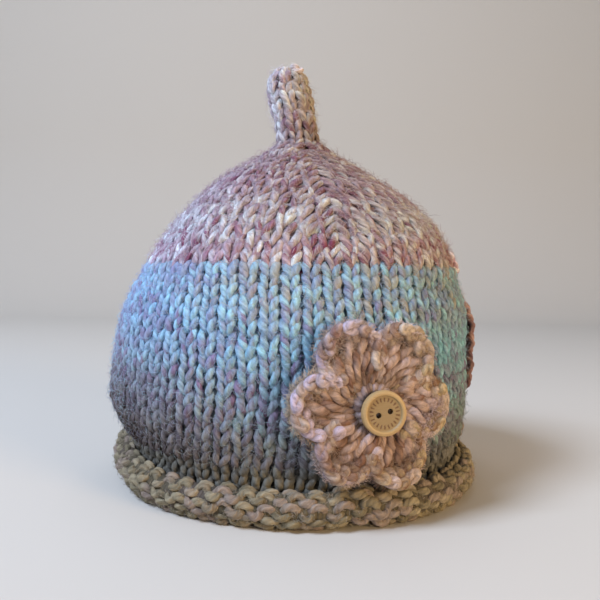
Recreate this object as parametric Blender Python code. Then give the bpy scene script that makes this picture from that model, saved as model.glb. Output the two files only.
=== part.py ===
"""A knitted tea cosy as solids: the hollow knitted cover, its crocheted flower and a wooden button.

Metres, +Z up. -Y is the front, and someone facing the front has +X on the right and -X on the left. The
origin lies on the surface that the hem stands on, below the middle of the whole object's box.

The cover is one piece of knitting. Its hem curls outwards and up into a roll, its belly has an opening
on either side, its crown is gathered in, and a short stalk of the same stitches stands on top. It is
built as one closed skin: rings of points run from a pole under the crown down the inside of the wall,
round the rolled hem, back up the outside, over the crown and up the stalk to a pole at its tip.
"""

import math

import bmesh
import bpy
import numpy as np

# Cloth
CLOTH_THICKNESS = 0.0040
PANEL_COLUMNS = 30  # columns of the mesh on the front, and again on the back

# Rolled hem
ROLL_RADIUS = 0.0046  # of the cloth's middle, so the roll is about 13 mm across outside
ROLL_CENTRE_HEIGHT = 0.0062
ROLL_END_DEG = 455.0  # the curl runs from 180 degrees, where the wall comes down, to here
ROLL_STEPS_ABOVE = 8  # rings of the mesh from the curl's end to the floor
ROLL_STEPS_BELOW = 4  # and from the floor to the wall's foot
FLOOR_FLAT_DEG = 20.0  # either side of straight down, the roll is pressed flat on the floor

# The hem stands clear of the floor below the left opening, and in one small pucker at the front
LEFT_LIFT = 0.0055
LEFT_LIFT_HALF_DEG = 62.0
PUCKER_LIFT = 0.0016
PUCKER_AT_DEG = 299.0
PUCKER_HALF_DEG = 7.0
HEM_BULGE = 0.0034  # the hem stands out further on the right side of the front
HEM_BULGE_AT_DEG = 321.0
HEM_BULGE_HALF_DEG = 62.0
LIFT_FADE_HEIGHT = 0.034  # the wall takes up the lift below this height

# The left opening, at 180 degrees, and the right one, at 0 degrees
OPENING_BOTTOM = 0.019
OPENING_TOP = 0.087
LEFT_HALF_GAP = 0.0105
RIGHT_HALF_GAP = 0.0060
RIGHT_LIP_FLARE = 0.0046  # the right opening's back edge stands out past its front one
RIGHT_LIP_WIDTH_DEG = 24.0
RIGHT_LIP_BOTTOM = (0.030, 0.044)  # it comes out between these heights
RIGHT_LIP_TOP = (0.064, 0.078)  # and goes back in between these

# The wall, from its foot in the roll to the stalk. Reaches are from the axis to the cloth's middle.
# (height, reach to the left, reach to the right, reach to the front and back), millimetres
WALL_SECTIONS = (
    (6.2, 64.0, 64.6, 65.4),
    (13.0, 65.4, 65.3, 65.7),
    (22.0, 71.5, 68.4, 67.0),
    (32.0, 76.2, 70.8, 68.4),
    (45.0, 75.9, 71.2, 69.0),
    (58.0, 73.7, 70.7, 68.3),
    (68.0, 70.6, 69.9, 66.8),
    (75.0, 67.4, 68.5, 64.7),
    (82.0, 63.3, 66.2, 61.8),
    (89.0, 59.2, 64.5, 58.6),
    (97.0, 54.0, 61.5, 54.4),
    (104.0, 48.9, 56.8, 49.8),
    (111.0, 42.6, 49.6, 43.6),
    (117.0, 36.6, 41.2, 37.2),
    (122.0, 30.6, 33.4, 30.9),
    (126.0, 24.9, 26.4, 24.9),
    (129.5, 18.9, 20.6, 19.2),
    (132.4, 14.2, 15.8, 14.6),
    (135.0, 10.6, 12.4, 11.0),
)
WALL_STEP = 0.0085  # along the wall, between rings of the mesh

# The inside is closed under the crown, where the gathered stitches fill the cloth solid
INSIDE_TOP = 0.126
INSIDE_POLE = (0.0015, 0.0, 0.1288)

# The stalk, a narrow tube of the same stitches. (height, middle's shift to the right, radius), mm
STALK_SECTIONS = (
    (138.6, 1.1, 9.1),
    (144.0, 0.0, 8.8),
    (150.0, -1.3, 9.2),
    (156.0, -2.8, 9.4),
    (162.0, -4.1, 9.2),
    (167.0, -4.8, 8.2),
    (170.2, -5.0, 5.2),
)
STALK_TIP = (-0.0050, 0.0, 0.1715)

# Crocheted flower. Angles run from the front towards the right side.
FLOWER_TURN_DEG = 31.2
FLOWER_HEIGHT = 0.0414
FLOWER_STAND_OFF = 0.0012
FLOWER_TILT_DEG = 5.0  # its lower petals stand out over the roll
FLOWER_DRAPE = 0.45  # share of the belly's curve that the petals follow
BELLY_RADIUS = 0.074
PETAL_CENTRE = 0.0179  # from the flower's middle
PETAL_HALF_WIDTH = 0.0116
# (turn from the right in degrees, size against the ones above)
PETALS = (
    (-3.0, 0.99),
    (54.0, 1.03),
    (116.0, 1.01),
    (179.0, 0.985),
    (236.0, 0.955),
    (295.0, 0.99),
)
FLOWER_COLUMNS = 84
HUB_THICKNESS = 0.0040
PETAL_THICKNESS = 0.0036
RIM_THICKNESS = 0.0064
RIM_WIDTH = 0.0042

# Wooden button
BUTTON_RADIUS = 0.0075
BUTTON_THICKNESS = 0.0034
BUTTON_DISH_RADIUS = 0.0056
BUTTON_DISH_DEPTH = 0.0007
BUTTON_EDGE_ROUND = 0.0010
BUTTON_SEGMENTS = 40
BUTTON_SHIFT = (0.0018, -0.0022)  # on the flower, to the right and up
BUTTON_TURN_DEG = 10.0  # its right edge stands off the flower, so that it faces the front more
BUTTON_GAP = 0.0004
BUTTON_HOLE_RADIUS = 0.00095
BUTTON_HOLE_APART = 0.0041
BUTTON_HOLE_TURN_DEG = 17.0
HOLE_SEGMENTS = 14


def material(name, colour, roughness, metallic=0.0):
    """A Principled BSDF of one linear colour."""
    made = bpy.data.materials.new(name)
    made.use_nodes = True
    shader = made.node_tree.nodes["Principled BSDF"]
    shader.inputs["Base Color"].default_value = (*colour, 1.0)
    shader.inputs["Roughness"].default_value = roughness
    shader.inputs["Metallic"].default_value = metallic
    return made


def add_object(name, points, faces, finish):
    """A smooth-shaded mesh object with its place in its points."""
    mesh = bpy.data.meshes.new(name)
    mesh.from_pydata([tuple(p) for p in points], [], faces)
    mesh.validate()
    mesh.shade_smooth()
    mesh.set_sharp_from_angle(angle=math.radians(50))
    made = bpy.data.objects.new(name, mesh)
    made.data.materials.append(finish)
    bpy.context.scene.collection.objects.link(made)
    return made


def smooth_step(low, high, value):
    """0 below low, 1 above high and a smooth rise between them."""
    share = np.clip((value - low) / (high - low), 0.0, 1.0)
    return share * share * (3.0 - 2.0 * share)


def bump(angle_deg, centre_deg, half_width_deg):
    """1 at the centre angle, falling smoothly to 0 at half_width either side."""
    away = np.abs((angle_deg - centre_deg + 180.0) % 360.0 - 180.0)
    return 1.0 - smooth_step(0.0, half_width_deg, away)


def read_table(table, at):
    """The table's other columns at the given first-column values, on a smooth curve (all in metres)."""
    rows = np.array(table) / 1000.0
    knots = rows[:, 0]
    slopes = np.gradient(rows[:, 1:], knots, axis=0)
    at = np.clip(at, knots[0], knots[-1])
    i = np.clip(np.searchsorted(knots, at) - 1, 0, len(knots) - 2)
    span = (knots[i + 1] - knots[i])[..., None]
    t = (at - knots[i])[..., None] / span
    start, end = rows[i, 1:], rows[i + 1, 1:]
    return (
        start * (1 + 2 * t) * (1 - t) ** 2
        + end * t * t * (3 - 2 * t)
        + span * (slopes[i] * t * (1 - t) ** 2 - slopes[i + 1] * t * t * (1 - t))
    )


def half_gap(height, widest):
    """Half the width of an opening at a height: a long lens, widest below its middle."""
    share = np.clip((height - OPENING_BOTTOM) / (OPENING_TOP - OPENING_BOTTOM), 0.0, 1.0)
    return widest * np.sin(np.pi * share**0.85) ** 0.8


def wall_angles(height):
    """Angle of each column at each height, in degrees, for the back panel and then the front panel.

    The back panel runs from the right opening at 0 degrees to the left opening at 180, the front
    panel from there on to 360. Both are narrower where the openings are wide.
    """
    reach = read_table(WALL_SECTIONS, height)
    right_edge = np.degrees(half_gap(height, RIGHT_HALF_GAP) / reach[..., 2])[:, None]
    left_edge = np.degrees(half_gap(height, LEFT_HALF_GAP) / reach[..., 2])[:, None]
    along = np.linspace(0.0, 1.0, PANEL_COLUMNS + 1)[None, :]
    back = right_edge + along * (180.0 - right_edge - left_edge)
    front = 180.0 + left_edge + along * (180.0 - right_edge - left_edge)
    return back, front


def hem_lift(angle_deg):
    """How far the rolled hem stands off the floor."""
    arch = LEFT_LIFT * bump(angle_deg, 180.0, LEFT_LIFT_HALF_DEG)
    return arch + PUCKER_LIFT * bump(angle_deg, PUCKER_AT_DEG, PUCKER_HALF_DEG)


def hem_bulge(angle_deg):
    """How far the foot of the wall and the roll stand out further than the table says."""
    return HEM_BULGE * bump(angle_deg, HEM_BULGE_AT_DEG, HEM_BULGE_HALF_DEG)


def place(reach, offset, angle_deg, height):
    """Points at an offset outside an uneven oval of the given reaches."""
    angle = np.radians(angle_deg)
    rightwards = 0.5 + 0.5 * np.cos(angle)
    across = reach[..., 0] + (reach[..., 1] - reach[..., 0]) * rightwards
    x = (across + offset) * np.cos(angle)
    y = (reach[..., 2] + offset) * np.sin(angle)
    return np.stack([x, y, np.broadcast_to(height, x.shape)], axis=-1)


def wall_middle(height, angle_deg):
    """The cloth's middle on the wall: height is (rows,), angle_deg is (rows, columns)."""
    reach = np.broadcast_to(read_table(WALL_SECTIONS, height)[:, None, :], (*angle_deg.shape, 3))
    inside = smooth_step(*RIGHT_LIP_BOTTOM, height) * (1.0 - smooth_step(*RIGHT_LIP_TOP, height))
    back_side = (angle_deg >= 0.0) & (angle_deg <= 180.0)
    flare = RIGHT_LIP_FLARE * inside[:, None] * bump(angle_deg, 0.0, RIGHT_LIP_WIDTH_DEG)
    near_hem = (1.0 - smooth_step(0.008, LIFT_FADE_HEIGHT, height))[:, None]
    offset = np.where(back_side, flare, 0.0) + hem_bulge(angle_deg) * near_hem
    points = place(reach, offset, angle_deg, height[:, None])
    points[..., 2] += hem_lift(angle_deg) * near_hem
    return points


def roll_middle(turn_deg, angle_deg):
    """The cloth's middle round the rolled hem: turn_deg is (rows,), angle_deg is (columns,)."""
    foot = read_table(WALL_SECTIONS, np.array([ROLL_CENTRE_HEIGHT]))[0]
    reach = np.broadcast_to(foot + ROLL_RADIUS, (len(turn_deg), len(angle_deg), 3))
    turn = np.radians(turn_deg)[:, None]
    height = ROLL_CENTRE_HEIGHT + ROLL_RADIUS * np.sin(turn) + hem_lift(angle_deg)[None, :]
    angles = np.broadcast_to(angle_deg[None, :], height.shape)
    return place(reach, ROLL_RADIUS * np.cos(turn) + hem_bulge(angles), angles, height)


def normals(points):
    """Unit normals of a grid that closes round its columns, pointing away from the axis on the wall."""
    steps = np.linalg.norm(np.diff(points, axis=0), axis=-1).mean(axis=1)
    along = np.concatenate([[0.0], np.cumsum(steps)])
    up = np.gradient(points, along, axis=0)
    around = (np.roll(points, -1, axis=1) - np.roll(points, 1, axis=1)) / 2.0
    found = np.cross(around, up)
    return found / np.linalg.norm(found, axis=-1, keepdims=True)


def wall_heights():
    """Heights of the wall's rings: a ring at each end of the openings, and even steps along the cloth."""
    fine = np.linspace(ROLL_CENTRE_HEIGHT, WALL_SECTIONS[-1][0] / 1000.0, 400)
    reach = read_table(WALL_SECTIONS, fine)[:, 2]
    along = np.concatenate([[0.0], np.cumsum(np.hypot(np.diff(fine), np.diff(reach)))])
    marks = [np.interp(h, fine, along) for h in (OPENING_BOTTOM, OPENING_TOP)]
    stops = [0.0, *marks, along[-1]]
    steps = [
        np.linspace(a, b, max(2, round((b - a) / WALL_STEP) + 1))[1:]
        for a, b in zip(stops, stops[1:])
    ]
    return np.interp(np.concatenate(steps), along, fine)


class Skin:
    """Collects the points and faces of the cover's closed skin."""

    def __init__(self):
        self.points = []
        self.faces = []

    def add(self, points):
        """Stores an array of points and gives the same-shaped array of their numbers."""
        flat = np.asarray(points, float).reshape(-1, 3)
        first = len(self.points)
        self.points.extend(flat)
        return np.arange(first, first + len(flat)).reshape(np.shape(points)[:-1])

    def quads(self, rings, flip=False):
        """Faces between neighbouring points of a grid of numbers."""
        for upper, lower in zip(rings, rings[1:]):
            for a, b, c, d in zip(upper, upper[1:], lower[1:], lower):
                self.faces.append((d, c, b, a) if flip else (a, b, c, d))

    def fan(self, ring, pole, flip=False):
        """Triangles from a closed ring to a pole."""
        for a, b in zip(ring, np.roll(ring, -1)):
            self.faces.append((b, a, pole) if flip else (a, b, pole))


def closed_ring(row):
    """The ring again with its first point repeated at its end."""
    return np.concatenate([row, row[:1]])


def cover_skin():
    """The knitted cover: (points, faces)."""
    skin = Skin()
    heights = wall_heights()
    back_deg, front_deg = wall_angles(heights)
    inside_opening = (heights > OPENING_BOTTOM + 1e-6) & (heights < OPENING_TOP - 1e-6)
    ring_deg = np.concatenate([back_deg[:, :-1], front_deg[:, :-1]], axis=1)

    above = np.linspace(ROLL_END_DEG, 270.0 + FLOOR_FLAT_DEG, ROLL_STEPS_ABOVE)
    below = np.linspace(270.0 - FLOOR_FLAT_DEG, 180.0, ROLL_STEPS_BELOW)
    turns = np.concatenate([above, below])
    roll_ring = ring_deg[0]
    middle = np.concatenate(
        [roll_middle(turns, roll_ring), wall_middle(heights, ring_deg)], axis=0
    )
    away = normals(middle)
    half = CLOTH_THICKNESS / 2.0
    outer, inner = middle + half * away, middle - half * away
    floor_rings = [ROLL_STEPS_ABOVE - 1, ROLL_STEPS_ABOVE]
    inner[floor_rings, :, 2] = hem_lift(roll_ring)

    last_panel_point = wall_middle(heights, front_deg)[:, -1]
    left_back_edge = wall_middle(heights, back_deg)[:, -1]
    outer_number, inner_number = skin.add(outer), skin.add(inner)
    first = len(turns)
    halves = {}
    for name, column, edge in (("right", 0, last_panel_point), ("left", PANEL_COLUMNS, left_back_edge)):
        other = {}
        for side, numbers, sign in (("outer", outer_number, 1), ("inner", inner_number, -1)):
            second = numbers[:, column].copy()
            for row in np.flatnonzero(inside_opening):
                second[first + row] = skin.add(edge[row] + sign * half * away[first + row, column])
            other[side] = second
        halves[name] = other

    for side, numbers, flip in (("outer", outer_number, False), ("inner", inner_number, True)):
        back = np.concatenate(
            [numbers[:, :PANEL_COLUMNS], halves["left"][side][:, None]], axis=1
        )
        front = np.concatenate(
            [numbers[:, PANEL_COLUMNS:], halves["right"][side][:, None]], axis=1
        )
        rows = len(numbers) if side == "outer" else first + int(np.sum(heights < INSIDE_TOP))
        skin.quads(back[:rows], flip)
        skin.quads(front[:rows], flip)
        if side == "inner":
            skin.fan(numbers[rows - 1], int(skin.add(np.array(INSIDE_POLE))), flip)

    end_rings = np.stack([closed_ring(inner_number[0]), closed_ring(outer_number[0])])
    skin.quads(end_rings)
    lip_rows = first + np.flatnonzero(inside_opening)
    span = np.arange(lip_rows[0] - 1, lip_rows[-1] + 2)
    for name, column in (("right", 0), ("left", PANEL_COLUMNS)):
        starts = np.stack([outer_number[span, column], inner_number[span, column]], axis=1)
        ends = np.stack([halves[name]["outer"][span], halves[name]["inner"][span]], axis=1)
        skin.quads(starts, flip=True)
        skin.quads(ends)

    stalk = stalk_rings(ring_deg[-1])
    stalk_number = skin.add(stalk)
    joined = np.concatenate([outer_number[-1:], stalk_number])
    skin.quads([closed_ring(r) for r in joined])
    skin.fan(joined[-1], int(skin.add(np.array(STALK_TIP))))
    return skin.points, [tuple(int(n) for n in face) for face in skin.faces]


def stalk_rings(angle_deg):
    """Rings of points up the stalk."""
    angle = np.radians(angle_deg)
    rings = []
    for height, shift, radius in np.array(STALK_SECTIONS) / 1000.0:
        rings.append(
            np.stack(
                [shift + radius * np.cos(angle), radius * np.sin(angle), np.full_like(angle, height)],
                axis=-1,
            )
        )
    return np.array(rings)


def flower_frame():
    """Middle of the flower's back on the belly, with its right, up and outward directions."""
    turn, tilt = math.radians(FLOWER_TURN_DEG), math.radians(FLOWER_TILT_DEG)
    angle_deg = np.array([[270.0 + FLOWER_TURN_DEG]])
    middle = wall_middle(np.array([FLOWER_HEIGHT]), angle_deg)[0, 0]
    level_out = np.array([math.sin(turn), -math.cos(turn), 0.0])
    right = np.array([math.cos(turn), math.sin(turn), 0.0])
    out = level_out * math.cos(tilt) + np.array([0.0, 0.0, math.sin(tilt)])
    up = np.cross(out, right)
    start = middle + level_out * (CLOTH_THICKNESS / 2.0 + FLOWER_STAND_OFF)
    return start, right, up, out


def on_flower(right_m, up_m, out_m):
    """Points given along the flower's right, up and outward directions, its back draped on the belly."""
    start, right, up, out = flower_frame()
    drape = FLOWER_DRAPE * right_m**2 / (2.0 * BELLY_RADIUS)
    return (
        start
        + right_m[..., None] * right
        + up_m[..., None] * up
        + (out_m - drape)[..., None] * out
    )


def petal_reach(angle):
    """How far the flower's outline is from its middle, at angles in radians: overlapping round petals."""
    reach = np.zeros_like(angle)
    for petal_deg, share in PETALS:
        turn = angle - math.radians(petal_deg)
        centre, radius = PETAL_CENTRE * share, PETAL_HALF_WIDTH * share
        under_root = radius**2 - (centre * np.sin(turn)) ** 2
        hit = (under_root > 0.0) & (np.cos(turn) > 0.0)
        found = centre * np.cos(turn) + np.sqrt(np.maximum(under_root, 0.0))
        reach = np.maximum(reach, np.where(hit, found, 0.0))
    return reach


def flower_skin():
    """The flower: (points, faces). Rings run from the middle of its face, over the rim, to its back."""
    angle = np.arange(FLOWER_COLUMNS) * 2.0 * np.pi / FLOWER_COLUMNS
    reach = petal_reach(angle)
    rim_start = 1.0 - RIM_WIDTH / reach
    # (share of the reach, height above the back)
    face = (
        (0.30 + 0 * reach, HUB_THICKNESS + 0 * reach),
        (0.62 * rim_start + 0.10, PETAL_THICKNESS + 0 * reach),
        (rim_start, PETAL_THICKNESS + 0.0006 + 0 * reach),
        (rim_start + 0.35 * (1 - rim_start), RIM_THICKNESS - 0.0006 + 0 * reach),
        (rim_start + 0.68 * (1 - rim_start), RIM_THICKNESS + 0 * reach),
        (0.985 + 0 * reach, 0.72 * RIM_THICKNESS + 0 * reach),
        (1.0 + 0 * reach, 0.42 * RIM_THICKNESS + 0 * reach),
        (0.94 + 0 * reach, 0.0006 + 0 * reach),
        (0.55 + 0 * reach, 0.0 + 0 * reach),
    )
    skin = Skin()
    rings = []
    for share, height in face:
        radius = share * reach
        rings.append(skin.add(on_flower(radius * np.cos(angle), radius * np.sin(angle), height)))
    zero = np.zeros(1)
    top = int(skin.add(on_flower(zero, zero, zero + HUB_THICKNESS))[0])
    bottom = int(skin.add(on_flower(zero, zero, zero))[0])
    skin.quads([closed_ring(r) for r in rings], flip=True)
    skin.fan(rings[0], top)
    skin.fan(rings[-1], bottom, flip=True)
    return skin.points, [tuple(int(n) for n in f) for f in skin.faces]


def turned(profile, segments):
    """A closed turned solid about +Z from (radius, height) pairs that run up from the axis to the axis."""
    skin = Skin()
    angle = np.arange(segments) * 2.0 * np.pi / segments
    rings = [
        skin.add(np.stack([r * np.cos(angle), r * np.sin(angle), 0 * angle + h], axis=-1))
        for r, h in profile[1:-1]
    ]
    bottom = int(skin.add(np.array([[0.0, 0.0, profile[0][1]]]))[0])
    top = int(skin.add(np.array([[0.0, 0.0, profile[-1][1]]]))[0])
    skin.quads([closed_ring(r) for r in rings])
    skin.fan(rings[0], bottom, flip=True)
    skin.fan(rings[-1], top)
    return skin.points, [tuple(int(n) for n in f) for f in skin.faces]


def on_button(points):
    """Button points, turned about its own axis, placed on the flower's face."""
    start, right, up, out = flower_frame()
    shift_right, shift_up = BUTTON_SHIFT
    turn = math.radians(BUTTON_TURN_DEG)
    lift = HUB_THICKNESS + BUTTON_GAP + BUTTON_RADIUS * math.sin(turn)
    base = start + shift_right * right + shift_up * up + lift * out
    button_right = math.cos(turn) * right + math.sin(turn) * out
    button_out = math.cos(turn) * out - math.sin(turn) * right
    points = np.asarray(points)
    return base + points[:, :1] * button_right + points[:, 1:2] * up + points[:, 2:] * button_out


def make_button(finish):
    """The button: a turned disc with a raised rim, and two holes cut through it."""
    edge, thick = BUTTON_EDGE_ROUND, BUTTON_THICKNESS
    corner = edge * (1.0 - math.sqrt(0.5))
    profile = (
        (0.0, 0.0),
        (BUTTON_RADIUS - edge, 0.0),
        (BUTTON_RADIUS - corner, corner),
        (BUTTON_RADIUS, edge),
        (BUTTON_RADIUS, thick - edge),
        (BUTTON_RADIUS - corner, thick - corner),
        (BUTTON_RADIUS - edge, thick),
        (BUTTON_DISH_RADIUS + 0.0004, thick - 0.0001),
        (BUTTON_DISH_RADIUS, thick - BUTTON_DISH_DEPTH),
        (0.0, thick - BUTTON_DISH_DEPTH),
    )
    points, faces = turned(profile, BUTTON_SEGMENTS)
    button = add_object("button", on_button(points), faces, finish)
    turn = math.radians(BUTTON_HOLE_TURN_DEG)
    for side in (-1, 1):
        cutter_points, cutter_faces = turned(
            (
                (0.0, -0.001),
                (BUTTON_HOLE_RADIUS, -0.001),
                (BUTTON_HOLE_RADIUS, thick + 0.001),
                (0.0, thick + 0.001),
            ),
            HOLE_SEGMENTS,
        )
        shift = side * BUTTON_HOLE_APART / 2.0
        moved = np.array(cutter_points) + np.array([shift * math.cos(turn), shift * math.sin(turn), 0.0])
        cutter = add_object(f"hole_cutter_{side + 1}", on_button(moved), cutter_faces, finish)
        cutter.hide_render = True
        cutter.display_type = "WIRE"
        cut = button.modifiers.new(f"hole_{side + 1}", "BOOLEAN")
        cut.operation = "DIFFERENCE"
        cut.solver = "EXACT"
        cut.object = cutter
    return button


def stand_on_origin(objects):
    """Moves everything so that the origin is below the middle of the shown objects' box."""
    corners = np.array([v.co for o in objects if not o.hide_render for v in o.data.vertices])
    low, high = corners.min(axis=0), corners.max(axis=0)
    shift = (-(low[0] + high[0]) / 2.0, -(low[1] + high[1]) / 2.0, -low[2])
    for o in objects:
        o.location = shift
    print("axis of the knitting stands at", [round(s * 1000.0, 3) for s in shift], "mm")


def main():
    """Builds the three pieces."""
    for old in list(bpy.data.objects):
        bpy.data.objects.remove(old)
    yarn = material("soft_blue_marl_yarn", (0.30, 0.36, 0.42), 0.95)
    flower_yarn = material("rose_beige_yarn", (0.42, 0.24, 0.18), 0.95)
    wood = material("pale_birch", (0.50, 0.36, 0.18), 0.55)

    points, faces = cover_skin()
    add_object("cosy_shell", points, faces, yarn)
    points, faces = flower_skin()
    add_object("flower", points, faces, flower_yarn)
    make_button(wood)
    for made in bpy.data.objects:
        work = bmesh.new()
        work.from_mesh(made.data)
        bmesh.ops.recalc_face_normals(work, faces=work.faces)
        work.to_mesh(made.data)
        work.free()
    stand_on_origin(list(bpy.data.objects))


main()
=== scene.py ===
"""Looks of a hand-knitted tea cosy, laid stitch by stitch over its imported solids.

Everything is in metres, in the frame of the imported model: +Z up and -Y towards the front, so that someone
facing the front has +X on the right and -X on the left. Angles round the cover run from +X over +Y.
"""

import logging
import math
from collections.abc import Callable, Sequence
from dataclasses import dataclass, field
from enum import Enum
from functools import partial

import bpy
import numpy as np
from mathutils import Matrix, Vector


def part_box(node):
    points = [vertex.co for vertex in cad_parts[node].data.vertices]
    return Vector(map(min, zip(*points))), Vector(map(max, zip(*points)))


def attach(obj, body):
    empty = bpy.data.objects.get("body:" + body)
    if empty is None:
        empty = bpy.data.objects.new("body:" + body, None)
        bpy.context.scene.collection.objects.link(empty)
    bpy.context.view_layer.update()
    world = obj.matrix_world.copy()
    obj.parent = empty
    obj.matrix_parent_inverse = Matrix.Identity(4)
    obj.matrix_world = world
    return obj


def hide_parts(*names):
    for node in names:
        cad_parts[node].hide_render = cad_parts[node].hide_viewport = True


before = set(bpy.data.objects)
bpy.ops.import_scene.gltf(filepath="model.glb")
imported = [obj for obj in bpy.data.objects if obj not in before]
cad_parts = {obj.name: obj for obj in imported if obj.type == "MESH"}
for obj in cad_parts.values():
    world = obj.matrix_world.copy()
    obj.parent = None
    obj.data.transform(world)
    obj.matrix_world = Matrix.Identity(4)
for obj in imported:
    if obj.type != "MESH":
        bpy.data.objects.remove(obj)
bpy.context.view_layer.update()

LOG = logging.getLogger("cosy")
MM = 0.001
FLOOR_GAP = 0.02 * MM  # how far the lowest yarn stays off the floor
Array = np.ndarray


class Slot(Enum):
    """Material slots of the record."""

    KNIT = "knit_yarn"
    FLOWER = "flower_yarn"
    BUTTON = "button_wood"


# Small sums


def smooth_step(low: float, high: float, value: Array) -> Array:
    """0 at low, 1 at high and beyond it, and a cubic ease between them."""
    share = np.clip((value - low) / (high - low), 0.0, 1.0)
    return share * share * (3.0 - 2.0 * share)


def bump(angle: Array, centre: float, half_width: float) -> Array:
    """1 at the centre angle in degrees, easing to 0 at half_width on either side."""
    away = np.abs((angle - centre + 180.0) % 360.0 - 180.0)
    return 1.0 - smooth_step(0.0, half_width, away)


def unit(vectors: Array) -> Array:
    """The same vectors at length 1."""
    return vectors / np.maximum(np.linalg.norm(vectors, axis=-1, keepdims=True), 1e-12)


def read_table(table: Sequence[Sequence[float]], at: Array) -> Array:
    """Reads a table of millimetres on a smooth curve through its rows.

    Each stretch is a cubic Hermite with the slopes of the finite differences at its two rows.

    Args:
        table: rows whose first column rises.
        at: values of the first column, in metres.

    Returns:
        The other columns at those values, in metres.
    """
    rows = np.array(table, float) * MM
    knots = rows[:, 0]
    slopes = np.gradient(rows[:, 1:], knots, axis=0)
    at = np.clip(at, knots[0], knots[-1])
    i = np.clip(np.searchsorted(knots, at) - 1, 0, len(knots) - 2)
    span = (knots[i + 1] - knots[i])[..., None]
    t = (at - knots[i])[..., None] / span
    return (
        rows[i, 1:] * (1 + 2 * t) * (1 - t) ** 2
        + rows[i + 1, 1:] * t * t * (3 - 2 * t)
        + span * (slopes[i] * t * (1 - t) ** 2 - slopes[i + 1] * t * t * (1 - t))
    )


def wander(rng: np.random.Generator, at: Array, spacing: float, loop: float = 0.0) -> Array:
    """Smooth noise from 0 to 1 along a line, eased between random values about a spacing apart.

    Args:
        rng: source of the random values.
        at: places along the line.
        spacing: distance between random values, in the same unit.
        loop: where not 0, the length after which the noise repeats.

    Returns:
        The noise at those places.
    """
    if loop:
        spacing = loop / max(2, round(loop / spacing))
    knots = np.asarray(at) / spacing
    low = math.floor(float(knots.min()))
    number = round(loop / spacing) if loop else int(float(knots.max())) - low + 3
    values = rng.random(number)
    i = np.floor(knots).astype(int) - low
    t = smooth_step(0.0, 1.0, knots - np.floor(knots))
    return values[i % number] * (1 - t) + values[(i + 1) % number] * t


def linear(hex_colour: str) -> Array:
    """The linear colour of an sRGB hex value such as #a0b0c0."""
    srgb = np.array([int(hex_colour[i : i + 2], 16) for i in (1, 3, 5)]) / 255.0
    return np.where(srgb <= 0.04045, srgb / 12.92, ((srgb + 0.055) / 1.055) ** 2.4)


# Meshes


@dataclass
class Tube:
    """Yarn carried along a path, as arrays ready for a mesh."""

    points: Array
    quads: Array
    caps: Array
    uv: Array
    along: Array


def carry(
    path: Array,
    facing: Array,
    side: Array | float,
    deep: Array | float,
    sides: int = 8,
    closed: bool = False,
    start: float = 0.0,
) -> Tube:
    """Carries an oval section along a path.

    A point is path + deep cos(v) a + side sin(v) b, where a is the facing direction made square to
    the path's tangent, and b is the tangent crossed with a.

    Args:
        path: (n, 3) middle of the yarn.
        facing: (n, 3) direction that the section's flat side faces.
        side: half width of the section across that direction.
        deep: half width of the section along that direction.
        sides: points round the section.
        closed: whether the path's end joins its start.
        start: yarn length already used, which the UV map starts from.

    Returns:
        The tube. Its UV map holds metres along the yarn, and 0 to 1 round it.
    """
    n = len(path)
    if closed:
        tangent = np.roll(path, -1, axis=0) - np.roll(path, 1, axis=0)
    else:
        tangent = np.gradient(path, axis=0)
    tangent = unit(tangent)
    first = unit(facing - np.sum(facing * tangent, axis=-1, keepdims=True) * tangent)
    second = np.cross(tangent, first)
    turn = np.arange(sides) * 2.0 * np.pi / sides
    side = np.broadcast_to(side, (n,))[:, None, None]
    deep = np.broadcast_to(deep, (n,))[:, None, None]
    ring = (
        path[:, None, :]
        + deep * np.cos(turn)[None, :, None] * first[:, None, :]
        + side * np.sin(turn)[None, :, None] * second[:, None, :]
    )
    steps = np.linalg.norm(np.diff(path, axis=0, append=path[:1]), axis=-1)
    along = start + np.concatenate([[0.0], np.cumsum(steps)])
    rows = np.arange(n if closed else n - 1)
    after = (rows + 1) % n
    k = np.arange(sides)
    next_k = (k + 1) % sides
    quads = np.stack(
        [
            rows[:, None] * sides + k[None, :],
            rows[:, None] * sides + next_k[None, :],
            after[:, None] * sides + next_k[None, :],
            after[:, None] * sides + k[None, :],
        ],
        axis=-1,
    ).reshape(-1, 4)
    u0, u1 = along[rows][:, None], along[rows + 1][:, None]
    v0, v1 = k[None, :] / sides, (k + 1)[None, :] / sides
    shape = (len(rows), sides)
    uv = np.stack(
        [
            np.stack([np.broadcast_to(u, shape), np.broadcast_to(v, shape)], axis=-1)
            for u, v in ((u0, v0), (u0, v1), (u1, v1), (u1, v0))
        ],
        axis=2,
    ).reshape(-1, 4, 2)
    if closed:
        caps = np.zeros((0, sides), int)
    else:
        caps = np.stack([k[::-1], (n - 1) * sides + k])
    return Tube(ring.reshape(-1, 3), quads, caps, uv, along[:n])


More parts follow.
